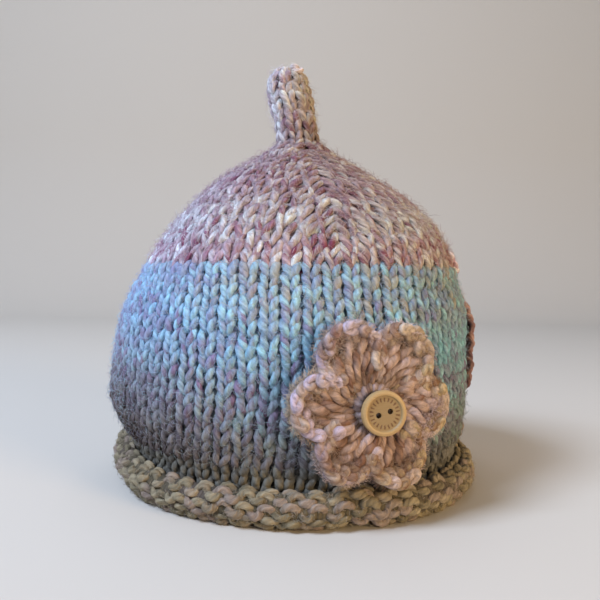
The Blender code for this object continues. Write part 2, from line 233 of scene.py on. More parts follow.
class Piece:
    """Collects tubes and grids, and makes one mesh object of them."""

    def __init__(self, name: str) -> None:
        """Starts an empty piece.

        Args:
            name: its name.
        """
        self.name = name
        self.points: list[Array] = []
        self.faces: dict[int, list[Array]] = {}
        self.uvs: dict[int, list[Array]] = {}
        self.tones: list[tuple[Array, Array]] = []
        self.count = 0

    def add_faces(self, faces: Array, uv: Array) -> None:
        """Adds faces of one size.

        Args:
            faces: (n, size) points of each face, numbered from the points added next.
            uv: (n, size, 2) places of their corners on the UV map.
        """
        size = faces.shape[1]
        self.faces.setdefault(size, []).append(faces + self.count)
        self.uvs.setdefault(size, []).append(uv)

    def add_points(self, points: Array, tone: tuple[Array, Array]) -> None:
        """Adds points.

        Args:
            points: (n, 3) places.
            tone: two (n, 3) colours, one for each ply.
        """
        self.points.append(points)
        self.tones.append(tone)
        self.count += len(points)

    def add_tube(self, tube: Tube, tone: tuple[Array, Array]) -> None:
        """Adds a tube.

        Args:
            tube: the yarn.
            tone: its two ply colours, for each point of its path.
        """
        sides = len(tube.points) // len(tube.along)
        self.add_faces(tube.quads, tube.uv)
        if len(tube.caps):
            self.add_faces(tube.caps, np.zeros((*tube.caps.shape, 2)))
        self.add_points(tube.points, tuple(np.repeat(t, sides, axis=0) for t in tone))

    def add_grid(self, points: Array, tone: tuple[Array, Array], wrap: bool) -> None:
        """Adds a grid of points as quads, facing the side where its rows turn left into its columns.

        Args:
            points: (rows, columns, 3) places.
            tone: two (rows, columns, 3) colours.
            wrap: whether the last column joins the first.
        """
        rows, columns = points.shape[:2]
        r = np.arange(rows - 1)[:, None]
        c = np.arange(columns if wrap else columns - 1)[None, :]
        d = (c + 1) % columns
        quads = np.stack(
            [r * columns + c, r * columns + d, (r + 1) * columns + d, (r + 1) * columns + c], axis=-1
        )
        across = np.stack([c, c + 1, c + 1, c], axis=-1) / columns + 0 * quads
        up = np.stack([r, r, r + 1, r + 1], axis=-1) / rows + 0 * quads
        uv = np.stack([across, up], axis=-1)
        self.add_faces(quads.reshape(-1, 4), uv.reshape(-1, 4, 2))
        self.add_points(points.reshape(-1, 3), tuple(t.reshape(-1, 3) for t in tone))

    def make(self, material: bpy.types.Material) -> bpy.types.Object:
        """Makes the mesh object, smooth shaded, with its UV map and its two colour attributes.

        Args:
            material: its finish.

        Returns:
            The object.
        """
        mesh = bpy.data.meshes.new(self.name)
        points = np.concatenate(self.points)
        groups = [np.concatenate(self.faces[size]) for size in sorted(self.faces)]
        uv = np.concatenate([np.concatenate(self.uvs[s]).reshape(-1, 2) for s in sorted(self.uvs)])
        corners = np.concatenate([g.ravel() for g in groups])
        sizes = np.concatenate([np.full(len(g), g.shape[1]) for g in groups])
        mesh.vertices.add(len(points))
        mesh.vertices.foreach_set("co", points.astype(np.float32).ravel())
        mesh.loops.add(len(corners))
        mesh.loops.foreach_set("vertex_index", corners.astype(np.int32))
        mesh.polygons.add(len(sizes))
        starts = np.concatenate([[0], np.cumsum(sizes)[:-1]])
        mesh.polygons.foreach_set("loop_start", starts.astype(np.int32))
        mesh.uv_layers.new(name="yarn").data.foreach_set("uv", uv.astype(np.float32).ravel())
        for i, name in enumerate(("ply_one", "ply_two")):
            colour = np.concatenate([t[i] for t in self.tones])
            colour = np.concatenate([colour, np.ones((len(colour), 1))], axis=1)
            layer = mesh.color_attributes.new(name=name, type="FLOAT_COLOR", domain="POINT")
            layer.data.foreach_set("color", colour.astype(np.float32).ravel())
        mesh.update(calc_edges=True)
        mesh.validate()
        mesh.shade_smooth()
        mesh.materials.append(material)
        made = bpy.data.objects.new(self.name, mesh)
        bpy.context.scene.collection.objects.link(made)
        return made


# Finishes


def connect(node: bpy.types.Node, inputs: dict[str | int, object]) -> None:
    """Links or sets inputs of a node.

    Args:
        node: the node.
        inputs: for each input, by name or number, an output to link or a value to set.
    """
    for key, value in inputs.items():
        if isinstance(value, bpy.types.NodeSocket):
            node.id_data.links.new(value, node.inputs[key])
        else:
            node.inputs[key].default_value = value


def add_node(
    tree: bpy.types.NodeTree,
    kind: str,
    inputs: dict[str | int, object] | Sequence[object] = (),
    out: str | int = 0,
    **settings: object,
) -> bpy.types.NodeSocket:
    """Adds one node with its settings and links.

    Args:
        tree: the material's node tree.
        kind: the node's type, without the word ShaderNode.
        inputs: outputs to link or values to set, in the inputs' order, or by their names or numbers.
        out: name or number of the output that is wanted.
        **settings: attributes of the node itself.

    Returns:
        That output.
    """
    made = tree.nodes.new("ShaderNode" + kind)
    for name, value in settings.items():
        setattr(made, name, value)
    connect(made, inputs if isinstance(inputs, dict) else dict(enumerate(inputs)))
    return made.outputs[out]


def start_material(
    name: str,
) -> tuple[bpy.types.Material, Callable[..., bpy.types.NodeSocket], bpy.types.Node]:
    """Starts a node material.

    Args:
        name: the material's name.

    Returns:
        The material, add_node bound to its tree, and its Principled shader.
    """
    made = bpy.data.materials.new(name)
    made.use_nodes = True
    return made, partial(add_node, made.node_tree), made.node_tree.nodes["Principled BSDF"]


@dataclass(frozen=True)
class PliedYarn:
    """Soft plied wool-blend yarn of brushed fibre: matt and fuzzy, its plies seen as slanting ridges.

    The geometry carries two colours, which the shader lays on the plies in turn. Each ply wanders a
    little towards the other colour along its length, so the yarn looks marled. A soft bump lifts the
    plies, and fine streaks along them are the fibres. The colour also carries painted shade, darker in
    the grooves between plies and the gaps between fibres, and painted light on the plies' tops.
    """

    name: str
    plies: int = 3
    turn: float = 9.6 * MM  # yarn length in which a ply goes once round
    ridge: float = 0.30 * MM  # height of a ply over the groove beside it
    fibre: float = 0.55 * MM  # height of the clumps of fibre
    clump: float = 1.7 * MM  # their length along the yarn
    streaks: float = 3.6  # clumps across a ply
    spread: float = 0.8  # how far apart the plies' colours are
    wander_length: float = 9.0 * MM  # yarn length over which a ply's colour wanders
    wander_reach: float = 2.2  # how far it wanders
    wander_apart: float = 0.71  # how far apart in the noise two plies read it
    blend: float = 0.42  # half the width of the change from one colour to the other
    ridge_share: float = 0.36  # what a ridge adds to the depth that the shading reads
    fibre_share: float = 2.0  # what the fibres add to it
    depths: tuple[float, float] = (0.72, 1.66)  # its values in the grooves and on the tops
    # Painted shade in the grooves and painted light on the tops, as brightness of the colour
    groove_painted_shade: float = 0.63  # brightness in the grooves
    top: float = 1.27  # brightness on the tops
    roughness: float = 0.95
    specular: float = 0.2
    sheen: float = 0.5
    sheen_roughness: float = 0.5

    def build(self) -> bpy.types.Material:
        """Makes the material from the UV map and the two colours that the yarn carries.

        Returns:
            The material.
        """
        made, node, shader = start_material(self.name)
        uv = node("UVMap", uv_map="yarn")
        along, around, _ = node("SeparateXYZ", (uv,)).node.outputs
        round_share = node("Math", (around, float(self.plies)), operation="MULTIPLY")
        along_share = node("Math", (along, self.plies / self.turn), operation="MULTIPLY")
        helix = node("Math", (round_share, along_share), operation="ADD")
        ply = node("Math", (helix,), operation="FLOOR")
        # Height over one ply: a smooth hill, (1 - cos 2 pi s) / 2
        full_turns = node("Math", (helix, 2.0 * math.pi), operation="MULTIPLY")
        wave = node("Math", (full_turns,), operation="COSINE")
        hill = node("Math", (wave, -0.5, 0.5), operation="MULTIPLY_ADD")
        fibre_place = node(
            "CombineXYZ",
            (
                node("Math", (along, 1.0 / self.clump), operation="MULTIPLY"),
                node("Math", (helix, self.streaks), operation="MULTIPLY"),
            ),
        )
        fibres = node(
            "TexNoise",
            {"Vector": fibre_place, "Scale": 1.0, "Detail": 5.0, "Roughness": 0.7, "Distortion": 0.8},
            "Fac",
        )
        # Each ply has its own wandering
        drift_place = node(
            "CombineXYZ",
            (
                node("Math", (along, 1.0 / self.wander_length), operation="MULTIPLY"),
                node("Math", (ply, self.wander_apart), operation="MULTIPLY"),
            ),
        )
        drift = node("TexNoise", {"Vector": drift_place, "Scale": 1.0, "Detail": 2.0}, "Fac")
        centred = node("Math", (drift, 0.5), operation="SUBTRACT")
        turn_number = node("Math", (ply, float(self.plies)), operation="FLOORED_MODULO")
        own = node("Math", (turn_number, self.spread / (self.plies - 1)), operation="MULTIPLY")
        wandered = node("Math", (centred, self.wander_reach, own), operation="MULTIPLY_ADD")
        middle = 0.5 * self.spread
        share = node("MapRange", (wandered, middle - self.blend, middle + self.blend))
        one = node("VertexColor", out="Color", layer_name="ply_one")
        two = node("VertexColor", out="Color", layer_name="ply_two")
        marl = node("Mix", {"Factor": share, 6: one, 7: two}, 2, data_type="RGBA")
        # Painted shade: grooves between plies, and gaps between fibres, are darker than their tops, which
        # carry painted light
        fibre_depth = node("Math", (fibres, self.fibre_share), operation="MULTIPLY")
        depth = node("Math", (hill, self.ridge_share, fibre_depth), operation="MULTIPLY_ADD")
        shade = node("MapRange", (depth, *self.depths, self.groove_painted_shade, self.top))
        colour = node(
            "Mix", {"Factor": 1.0, 6: marl, 7: shade}, 2, data_type="RGBA", blend_type="MULTIPLY"
        )
        fibre_height = node("Math", (fibres, self.fibre), operation="MULTIPLY")
        height = node("Math", (hill, self.ridge, fibre_height), operation="MULTIPLY_ADD")
        lift = node("Bump", {"Strength": 1.0, "Distance": 1.0, "Height": height})
        connect(
            shader,
            {
                "Base Color": colour,
                "Normal": lift,
                "Roughness": self.roughness,
                "Specular IOR Level": self.specular,
                "Sheen Weight": self.sheen,
                "Sheen Roughness": self.sheen_roughness,
                "Sheen Tint": marl,
            },
        )
        return made


@dataclass(frozen=True)
class StrayFibre:
    """Loose wool fibres, too fine to show plies: matt, with a soft sheen at their edges."""

    name: str
    roughness: float = 0.8
    specular: float = 0.3
    sheen: float = 0.3

    def build(self) -> bpy.types.Material:
        """Makes the material from the colour that each fibre carries.

        Returns:
            The material.
        """
        made, node, shader = start_material(self.name)
        connect(
            shader,
            {
                "Base Color": node("VertexColor", out="Color", layer_name="ply_one"),
                "Roughness": self.roughness,
                "Specular IOR Level": self.specular,
                "Sheen Weight": self.sheen,
            },
        )
        return made


@dataclass(frozen=True)
class BurntBirch:
    """A turned and lasered birch button: pale, fine-grained, lightly waxed, with scorched marks.

    The grain runs across the button, the dish is darkened with painted shade and the rim lightened
    with painted light, and a ring of small plain scorched dashes lies in the dish.
    """

    name: str = "turned_birch"
    pale: str = "#ac9368"
    dark: str = "#907247"
    scorch: str = "#5a3418"
    grain: float = 0.35 * MM  # width of a streak of grain
    grain_stretch: float = 0.12  # how much slower the grain changes along a streak
    grain_contrast: float = 0.8
    grain_height: float = 0.06 * MM
    centre: tuple[float, float, float] = (0.0, 0.0, 0.0)
    turn: tuple[float, float, float] = (0.0, 0.0, 0.0)
    ring: float = 4.45 * MM  # radius of the ring of dashes
    ring_half: float = 0.75 * MM  # half a dash's length
    dashes: int = 22
    dash_half: tuple[float, float] = (0.22, 0.12)  # half a dash's width at its soft edge and its core
    wobble: float = 0.5  # how far the grain pulls a dash aside
    burn: float = 0.85  # how dark a dash is
    burn_depth: float = 0.12 * MM
    rim: float = 5.8 * MM
    rim_edge: float = 0.4 * MM
    # Painted shade in the dish and painted light on the rim, as brightness of the wood
    dish_painted_shade: float = 0.74
    rim_painted_light: float = 1.2
    roughness: float = 0.5

    def build(self) -> bpy.types.Material:
        """Makes the material. Object coordinates are brought to the button's own middle and face.

        Returns:
            The material.
        """
        made, node, shader = start_material(self.name)
        place = node("TexCoord", out="Object")
        local = node(
            "Mapping",
            {"Vector": place, "Location": self.centre, "Rotation": self.turn},
            vector_type="TEXTURE",
        )
        x, y, z = node("SeparateXYZ", (local,)).node.outputs
        grain_place = node(
            "CombineXYZ",
            [
                node("Math", (axis, stretch / self.grain), operation="MULTIPLY")
                for axis, stretch in ((x, self.grain_stretch), (y, 1.0), (z, 1.0))
            ],
        )
        grain = node(
            "TexNoise", {"Vector": grain_place, "Scale": 0.8, "Detail": 4.0, "Roughness": 0.6}, "Fac"
        )
        streak = node("Math", (grain, self.grain_contrast), operation="MULTIPLY")
        pale, dark, scorch = ((*linear(c), 1.0) for c in (self.pale, self.dark, self.scorch))
        wood = node("Mix", {"Factor": streak, 6: pale, 7: dark}, 2, data_type="RGBA")
        squares = [node("Math", (axis, axis), operation="MULTIPLY") for axis in (x, y)]
        reach = node("Math", (node("Math", squares, operation="ADD"),), operation="SQRT")
        from_ring = node("Math", (reach, self.ring), operation="SUBTRACT")
        off_ring = node("Math", (from_ring,), operation="ABSOLUTE")
        in_ring = node("MapRange", (off_ring, self.ring_half, self.ring_half * 0.7, 0.0, 1.0))
        angle = node("Math", (y, x), operation="ARCTAN2")
        beats = node("Math", (angle, self.dashes / (2.0 * math.pi)), operation="MULTIPLY")
        beat = node("Math", (beats,), operation="FRACT")
        from_mean = node("Math", (grain, 0.5), operation="SUBTRACT")
        wobble = node("Math", (from_mean, self.wobble), operation="MULTIPLY")
        wavy = node("Math", (beat, wobble), operation="ADD")
        from_dash = node("Math", (wavy, 0.5), operation="SUBTRACT")
        off_dash = node("Math", (from_dash,), operation="ABSOLUTE")
        in_dash = node("MapRange", (off_dash, *self.dash_half, 0.0, 1.0))
        in_both = node("Math", (in_ring, in_dash), operation="MULTIPLY")
        mark = node("Math", (in_both, self.burn), operation="MULTIPLY")
        # Painted light on the raised rim and painted shade in the dish
        rim_from, rim_to = self.rim - self.rim_edge, self.rim + self.rim_edge
        painted_rim_dish_tone = node("MapRange", (reach, rim_from, rim_to, self.dish_painted_shade, self.rim_painted_light))
        wood = node("Mix", {"Factor": 1.0, 6: wood, 7: painted_rim_dish_tone}, 2, data_type="RGBA", blend_type="MULTIPLY")
        colour = node("Mix", {"Factor": mark, 6: wood, 7: scorch}, 2, data_type="RGBA")
        raised = node("Math", (grain, self.grain_height), operation="MULTIPLY")
        sunk = node("Math", (mark, self.burn_depth), operation="MULTIPLY")
        height = node("Math", (raised, sunk), operation="SUBTRACT")
        lift = node("Bump", {"Strength": 0.8, "Distance": 1.0, "Height": height})
        connect(shader, {"Base Color": colour, "Normal": lift, "Roughness": self.roughness})
        return made


@dataclass(frozen=True)
class Matt:
    """A plain matt paint for the studio."""

    name: str
    colour: str
    roughness: float = 0.9
    specular: float = 0.1

    def build(self) -> bpy.types.Material:
        """Makes the material.

        Returns:
            The material.
        """
        made, _, shader = start_material(self.name)
        paint = (*linear(self.colour), 1.0)
        connect(
            shader,
            {"Base Color": paint, "Roughness": self.roughness, "Specular IOR Level": self.specular},
        )
        return made


@dataclass(frozen=True)
class Colourway:
    """Dyed lengths of the yarn, told by the height at which they were knitted.

    Each band is (level in mm, one colour, the other that the yarn goes to and fro with, a third that it
    wanders to now and then).
    """

    bands: tuple[tuple[float, str, str, str], ...]
    run: float = 7.5 * MM  # length of yarn over which a colour holds
    waver: float = 7.0  # how far, in mm, the bands' borders wander
    marl: float = 0.35  # how much the two plies differ
    # Linear red, green and blue by which the colours are multiplied at the left and the right: painted cool
    # light on the left and painted warm shade on the right
    left_painted_light: tuple[float, float, float] = (1.0, 1.0, 1.0)
    right_painted_shade: tuple[float, float, float] = (1.0, 1.0, 1.0)
    climb: float = 0.0  # how much higher the bands stand at the left
    climb_half: float = 105.0  # degrees from the left over which they come down again
    # Angle at which the painted shade of the right side is whole
    right_shade_angle: float = 15.0  # angle at which the drift to the right is whole
    third_most: float = 0.8  # how much of the third colour comes through at most
    # Values of the noise between which the yarn goes over to another colour
    both_turn: tuple[float, float] = (0.25, 0.75)
    ply_turn: tuple[float, float] = (0.3, 0.7)
    third_turn: tuple[float, float] = (0.5, 0.8)
    # Lengths in runs over which the bands' borders, the third colour and the brightness wander
    waver_runs: float = 3.0
    third_runs: float = 1.4
    light_runs: float = 0.6
    light: float = 0.18  # how much the brightness wanders

    def drift(self, angle: Array) -> Array:
        """The painted light and shade of the sides at angles in degrees round the cover, eased by a cosine
        from one side to the other.
        """
        share = 0.5 + 0.5 * np.cos(np.radians(angle - self.right_shade_angle))[:, None]
        return np.array(self.left_painted_light) * (1.0 - share) + np.array(self.right_painted_shade) * share

    def dye(
        self, rng: np.random.Generator, level: Array, along: Array, third_share: Array | float = 1.0
    ) -> tuple[Array, Array]:
        """Colours of the two plies.

        Args:
            rng: source of the wandering.
            level: level of each point of the yarn's path, in metres.
            along: length along the yarn at each point.
            third_share: how much of the third colour comes through.

        Returns:
            Two (n, 3) arrays of linear colour.
        """
        levels = np.array([b[0] for b in self.bands]) * MM
        shifted = level + (wander(rng, along, self.waver_runs * self.run) - 0.5) * self.waver * MM
        colours = [
            np.stack(
                [np.interp(shifted, levels, [linear(b[k])[c] for b in self.bands]) for c in range(3)],
                axis=-1,
            )
            for k in (1, 2, 3)
        ]
        both = smooth_step(*self.both_turn, wander(rng, along, self.run))
        third = smooth_step(*self.third_turn, wander(rng, along, self.third_runs * self.run))
        third = self.third_most * (third * third_share)[:, None]
        plies = []
        for k in range(2):
            own = smooth_step(*self.ply_turn, wander(rng, along, self.run)) + (0.5, -0.5)[k]
            share = np.clip((1.0 - self.marl) * both + self.marl * own, 0.0, 1.0)[:, None]
            mixed = colours[0] * (1 - share) + colours[1] * share
            mixed = mixed * (1 - third) + colours[2] * third
            light = 1.0 + self.light * (wander(rng, along, self.light_runs * self.run) - 0.5)
            plies.append(mixed * light[:, None])
        return plies[0], plies[1]


# The lowest band is partly dye and partly painted shadow: with the climb it shows only low on the left,
# under the belly
FRONT_DYE = Colourway(
    (
        (2.0, "#45352e", "#302520", "#4c3b33"),
        (14.0, "#746b65", "#524946", "#877e6e"),
        (26.0, "#989596", "#6c646d", "#919f98"),
        (38.0, "#9db8c0", "#897086", "#93b3b0"),
        (50.0, "#a9cfe1", "#8c7b99", "#8fbfcf"),
        (60.0, "#a8dcee", "#8e87a9", "#8cc6dc"),
        (74.0, "#afd9e6", "#9592b2", "#b9a79a"),
        (87.0, "#abd4e0", "#939db5", "#b4a69a"),
    ),
    run=6.0 * MM,
    marl=0.5,
    left_painted_light=(1.12, 1.14, 1.24),
    right_painted_shade=(0.68, 0.74, 0.66),
    climb=27.0 * MM,
)
BACK_DYE = Colourway(
    (
        (14.0, "#a39585", "#73655a", "#9a8d80"),
        (40.0, "#bd9a93", "#765a5b", "#94756f"),
        (86.0, "#c8a8a0", "#806063", "#9c7c78"),
    )
)
CROWN_DYE = Colourway(
    (
        (87.0, "#fffbfb", "#93455e", "#cfa5b1"),
        (93.0, "#fbf1f3", "#934b64", "#cfa6b0"),
        (101.0, "#fefbf8", "#a06b7c", "#dcd0d1"),
        (108.0, "#f4ebe6", "#915f71", "#c9b6b9"),
        (115.0, "#ebdcd9", "#8b5267", "#be9da5"),
        (122.0, "#e7d6d1", "#8a5668", "#b797a0"),
        (136.0, "#e8d8d1", "#8b5a66", "#bb9f9f"),
        (150.0, "#faf2ea", "#9d747f", "#cdb4b4"),
        (170.0, "#fdf7f0", "#b08f98", "#dbcbc5"),
    ),
    run=5.5 * MM,
    marl=0.45,
    left_painted_light=(0.93, 1.06, 1.17),
    right_painted_shade=(0.58, 0.585, 0.455),
)
# The roll's outer bands are warmed partly as painted bounce light from below, and the bands by the wall's
# foot and up the wall are darker partly as painted shade in the crease under the belly
BRIM_DYE = Colourway(
    (
        (-26.0, "#a5987e", "#786e59", "#9a8a7c"),
        (-9.0, "#9f947b", "#736c58", "#97867e"),
        (-3.0, "#7e7a6c", "#605d54", "#7a7872"),
        (20.0, "#7f7c74", "#62605b", "#858377"),
    ),
    waver=3.0,
)
FAN_DYE = Colourway(
    (
        (12.0, "#b39584", "#775747", "#b99f96"),
        (45.0, "#c3a99a", "#7f5f4f", "#c8b3b0"),
        (80.0, "#c8b2a8", "#82625a", "#ccbabc"),
    ),
    run=5.0 * MM,
)
FLOWER_DYE = Colourway(
    (
        (12.0, "#bfa88c", "#85654f", "#c6b0aa"),
        (45.0, "#c7b499", "#8c6c57", "#cebbbb"),
        (80.0, "#cdbdb4", "#917368", "#d4c7cd"),
    ),
    run=6.0 * MM,
    left_painted_light=(0.95, 1.0, 1.3),
    right_painted_shade=(0.94, 0.94, 0.8),
)


# The cover's form


@dataclass
class CosyForm:
    """The middle of the cover's cloth. A place on it is an angle and a length along the cloth.

    The length runs from the curl's end, round the rolled hem, up the wall and over the crown to the
    stalk's tip. The cross-section is an uneven oval: x = shift + reach(angle) cos(angle) and
    y = front reach sin(angle).
    """

    axis: tuple[float, float] = (0.504 * MM, 1.501 * MM)
    roll_radius: float = 4.6 * MM
    roll_height: float = 6.2 * MM
    roll_end: float = 455.0
    # (height, reach to the left, reach to the right, reach to the front), millimetres
    wall: tuple[tuple[float, ...], ...] = (
        (6.2, 64.0, 64.6, 65.4),
        (13.0, 65.4, 65.3, 65.7),
        (22.0, 71.5, 68.4, 67.0),
        (32.0, 76.2, 70.8, 68.4),
        (45.0, 75.9, 71.2, 69.0),
        (58.0, 73.7, 70.7, 68.3),
        (68.0, 70.6, 69.9, 66.8),
        (75.0, 67.4, 68.5, 64.7),
        (82.0, 63.3, 66.2, 61.8),
        (89.0, 59.2, 64.5, 58.6),
        (97.0, 54.0, 61.5, 54.4),
        (104.0, 48.9, 56.8, 49.8),
        (111.0, 42.6, 49.6, 43.6),
        (117.0, 36.6, 41.2, 37.2),
        (122.0, 30.6, 33.4, 30.9),
        (126.0, 24.9, 26.4, 24.9),
        (129.5, 18.9, 20.6, 19.2),
        (132.4, 14.2, 15.8, 14.6),
        (135.0, 10.6, 12.4, 11.0),
    )
    # (height, shift to the right, reach), millimetres
    stalk: tuple[tuple[float, ...], ...] = (
        (138.6, 1.1, 7.1),
        (144.0, 0.0, 6.8),
        (150.0, -1.3, 7.2),
        (156.0, -2.8, 7.4),
        (162.0, -4.1, 7.2),
        (166.0, -4.7, 6.2),
        (168.4, -5.0, 4.2),
        (169.4, -5.0, 1.4),
    )
    stalk_foot: float = 136.5 * MM
    opening_bottom: float = 19.0 * MM
    opening_top: float = 87.0 * MM
    opening_ease: float = 12.0 * MM  # height over which the edges' inset comes and goes
    left_gap: float = 10.5 * MM  # half the widest part of each opening
    right_gap: float = 6.0 * MM
    lens: tuple[float, float] = (0.85, 0.8)  # exponents: where an opening is widest, and how full it is
    lip_flare: float = 4.6 * MM
    lip_half: float = 24.0  # degrees over which the standing lip eases out
    flare_from: tuple[float, float] = (30.0 * MM, 44.0 * MM)  # heights between which the lip comes
    flare_to: tuple[float, float] = (64.0 * MM, 78.0 * MM)  # and goes
    left_lift: float = 5.5 * MM
    left_arch: float = 62.0  # degrees over which the arch below the left opening comes down
    pucker_lift: float = 1.6 * MM
    pucker: tuple[float, float] = (299.0, 7.0)  # its middle and half width in degrees
    hem_bulge: float = 3.4 * MM
    bulge: tuple[float, float] = (321.0, 62.0)  # its middle and half width in degrees
    hem_fade: tuple[float, float] = (8.0 * MM, 34.0 * MM)  # heights between which the hem's shapes fade
    swell: float = 0.35 * MM
    swells: int = 5  # shallow swells round the cover
    swell_rise: float = 9.0 * MM  # height in which they turn by a radian
    profile_points: tuple[int, int, int] = (140, 600, 200)  # on the roll, the wall and the stalk
    length: Array = field(init=False)
    column: dict[str, Array] = field(init=False)
    marks: dict[str, float] = field(init=False)
    foot_row: int = field(init=False)  # row of the columns where the wall starts

    def __post_init__(self) -> None:
        """Works the tables out into columns along the cloth."""
        roll_points, wall_points, stalk_points = self.profile_points
        turn = np.linspace(self.roll_end, 180.0, roll_points)
        foot = np.array(self.wall[0][1:]) * MM
        out = self.roll_radius * (1.0 + np.cos(np.radians(turn)))
        roll = np.concatenate(
            [
                (self.roll_height + self.roll_radius * np.sin(np.radians(turn)))[:, None],
                foot[None, :] + out[:, None],
                np.zeros((len(turn), 1)),
            ],
            axis=1,
        )
        wall_height = np.linspace(self.wall[0][0], self.wall[-1][0], wall_points) * MM
        wall = np.concatenate(
            [wall_height[:, None], read_table(self.wall, wall_height), np.zeros((wall_points, 1))], axis=1
        )
        stalk_height = np.linspace(self.stalk[0][0], self.stalk[-1][0], stalk_points) * MM
        shift, reach = read_table(self.stalk, stalk_height).T
        stalk = np.stack([stalk_height, reach, reach, reach, shift], axis=1)
        rows = np.concatenate([roll[:-1], wall, stalk])
        mean = rows[:, 1:3].mean(axis=1)
        self.length = np.concatenate([[0.0], np.cumsum(np.hypot(np.diff(rows[:, 0]), np.diff(mean)))])
        height = rows[:, 0]
        rolled = np.arange(len(rows)) < len(roll) - 1
        slit = smooth_step(self.opening_bottom, self.opening_bottom + self.opening_ease, height)
        slit = slit * (1.0 - smooth_step(self.opening_top - self.opening_ease, self.opening_top, height))
        flare = smooth_step(*self.flare_from, height) * (1.0 - smooth_step(*self.flare_to, height))
        near_hem = np.where(rolled, 1.0, 1.0 - smooth_step(*self.hem_fade, height))
        self.column = {
            "height": height,
            "left": rows[:, 1],
            "right": rows[:, 2],
            "front": rows[:, 3],
            "shift": rows[:, 4],
            "hem": near_hem,
            "slit": np.where(rolled, 0.0, slit),
            "flare": np.where(rolled, 0.0, flare),
            # Below 0 on the roll, and the height above the floor on the wall
            "level": np.where(rolled, self.length - self.length[len(roll) - 1], height),
        }
        self.foot_row = len(roll) - 1
        self.marks = {
            "foot": float(self.length[self.foot_row]),
            "opening_bottom": self.length_at(self.opening_bottom),
            "opening_top": self.length_at(self.opening_top),
            "stalk": self.length_at(self.stalk_foot),
            "tip": float(self.length[-1]),
        }

    def length_at(self, height: float) -> float:
        """Length along the cloth at a height on the wall, the crown or the stalk."""
        upwards = slice(self.foot_row, None)
        return float(np.interp(height, self.column["height"][upwards], self.length[upwards]))

    def read(self, name: str, length: Array) -> Array:
        """One column at a length along the cloth."""
        return np.interp(length, self.length, self.column[name])

    def lift(self, angle: Array) -> Array:
        """Height of the hem off the floor: an arch below the left opening, and a pucker in front."""
        arch = self.left_lift * bump(angle, 180.0, self.left_arch)
        return arch + self.pucker_lift * bump(angle, *self.pucker)

    def at(self, angle: Array, length: Array, lip: float = 0.0) -> Array:
        """Places on the cloth's middle.

        Args:
            angle: degrees round the cover.
            length: metres along the cloth.
            lip: 1 on the back panel, whose edge at the right opening stands out, and 0 elsewhere.

        Returns:
            An array of places.
        """
        turn = np.radians(angle)
        share = 0.5 + 0.5 * np.cos(turn)
        hem = self.read("hem", length)
        offset = self.hem_bulge * bump(angle, *self.bulge) * hem
        offset = offset + lip * self.lip_flare * bump(angle, 0.0, self.lip_half) * self.read("flare", length)
        # Hand knitting is never quite even: shallow swells some 40 mm across
        height = self.read("height", length)
        offset = offset + self.swell * np.sin(self.swells * turn + height / self.swell_rise) * (1.0 - hem)
        left, right = self.read("left", length), self.read("right", length)
        across = left + (right - left) * share + offset
        front = self.read("front", length) + offset
        x = self.axis[0] + self.read("shift", length) + across * np.cos(turn)
        y = self.axis[1] + front * np.sin(turn)
        return np.stack([x, y, height + self.lift(angle) * hem], axis=-1)

    def faced(self, angle: Array, length: Array, lip: float = 0.0) -> tuple[Array, Array]:
        """Places on the cloth's middle, and the direction square to it there.

        The direction is the way round crossed with the way up, each between two near places.

        Args:
            angle: degrees round the cover.
            length: metres along the cloth.
            lip: 1 on the back panel, and 0 elsewhere.

        Returns:
            The places, and unit directions that point outwards on the wall.
        """
        turn, step = 0.4, 0.5 * MM
        round_ = self.at(angle + turn, length, lip) - self.at(angle - turn, length, lip)
        up = self.at(angle, length + step, lip) - self.at(angle, length - step, lip)
        return self.at(angle, length, lip), unit(np.cross(round_, up))

    def gap(self, length: Array, widest: float) -> Array:
        """Half the width of an opening: a long lens, sin(pi share^a)^b of its widest.

        Args:
            length: metres along the cloth.
            widest: half its widest part, in metres.

        Returns:
            Half the width at those lengths, in degrees round the cover.
        """
        height = self.read("height", length)
        share = (height - self.opening_bottom) / (self.opening_top - self.opening_bottom)
        share = np.clip(share, 0.0, 1.0)
        share = np.where(length < self.marks["foot"], 0.0, share)
        half = widest * np.sin(np.pi * share ** self.lens[0]) ** self.lens[1]
        return np.degrees(half / self.read("front", length))


# Knitting


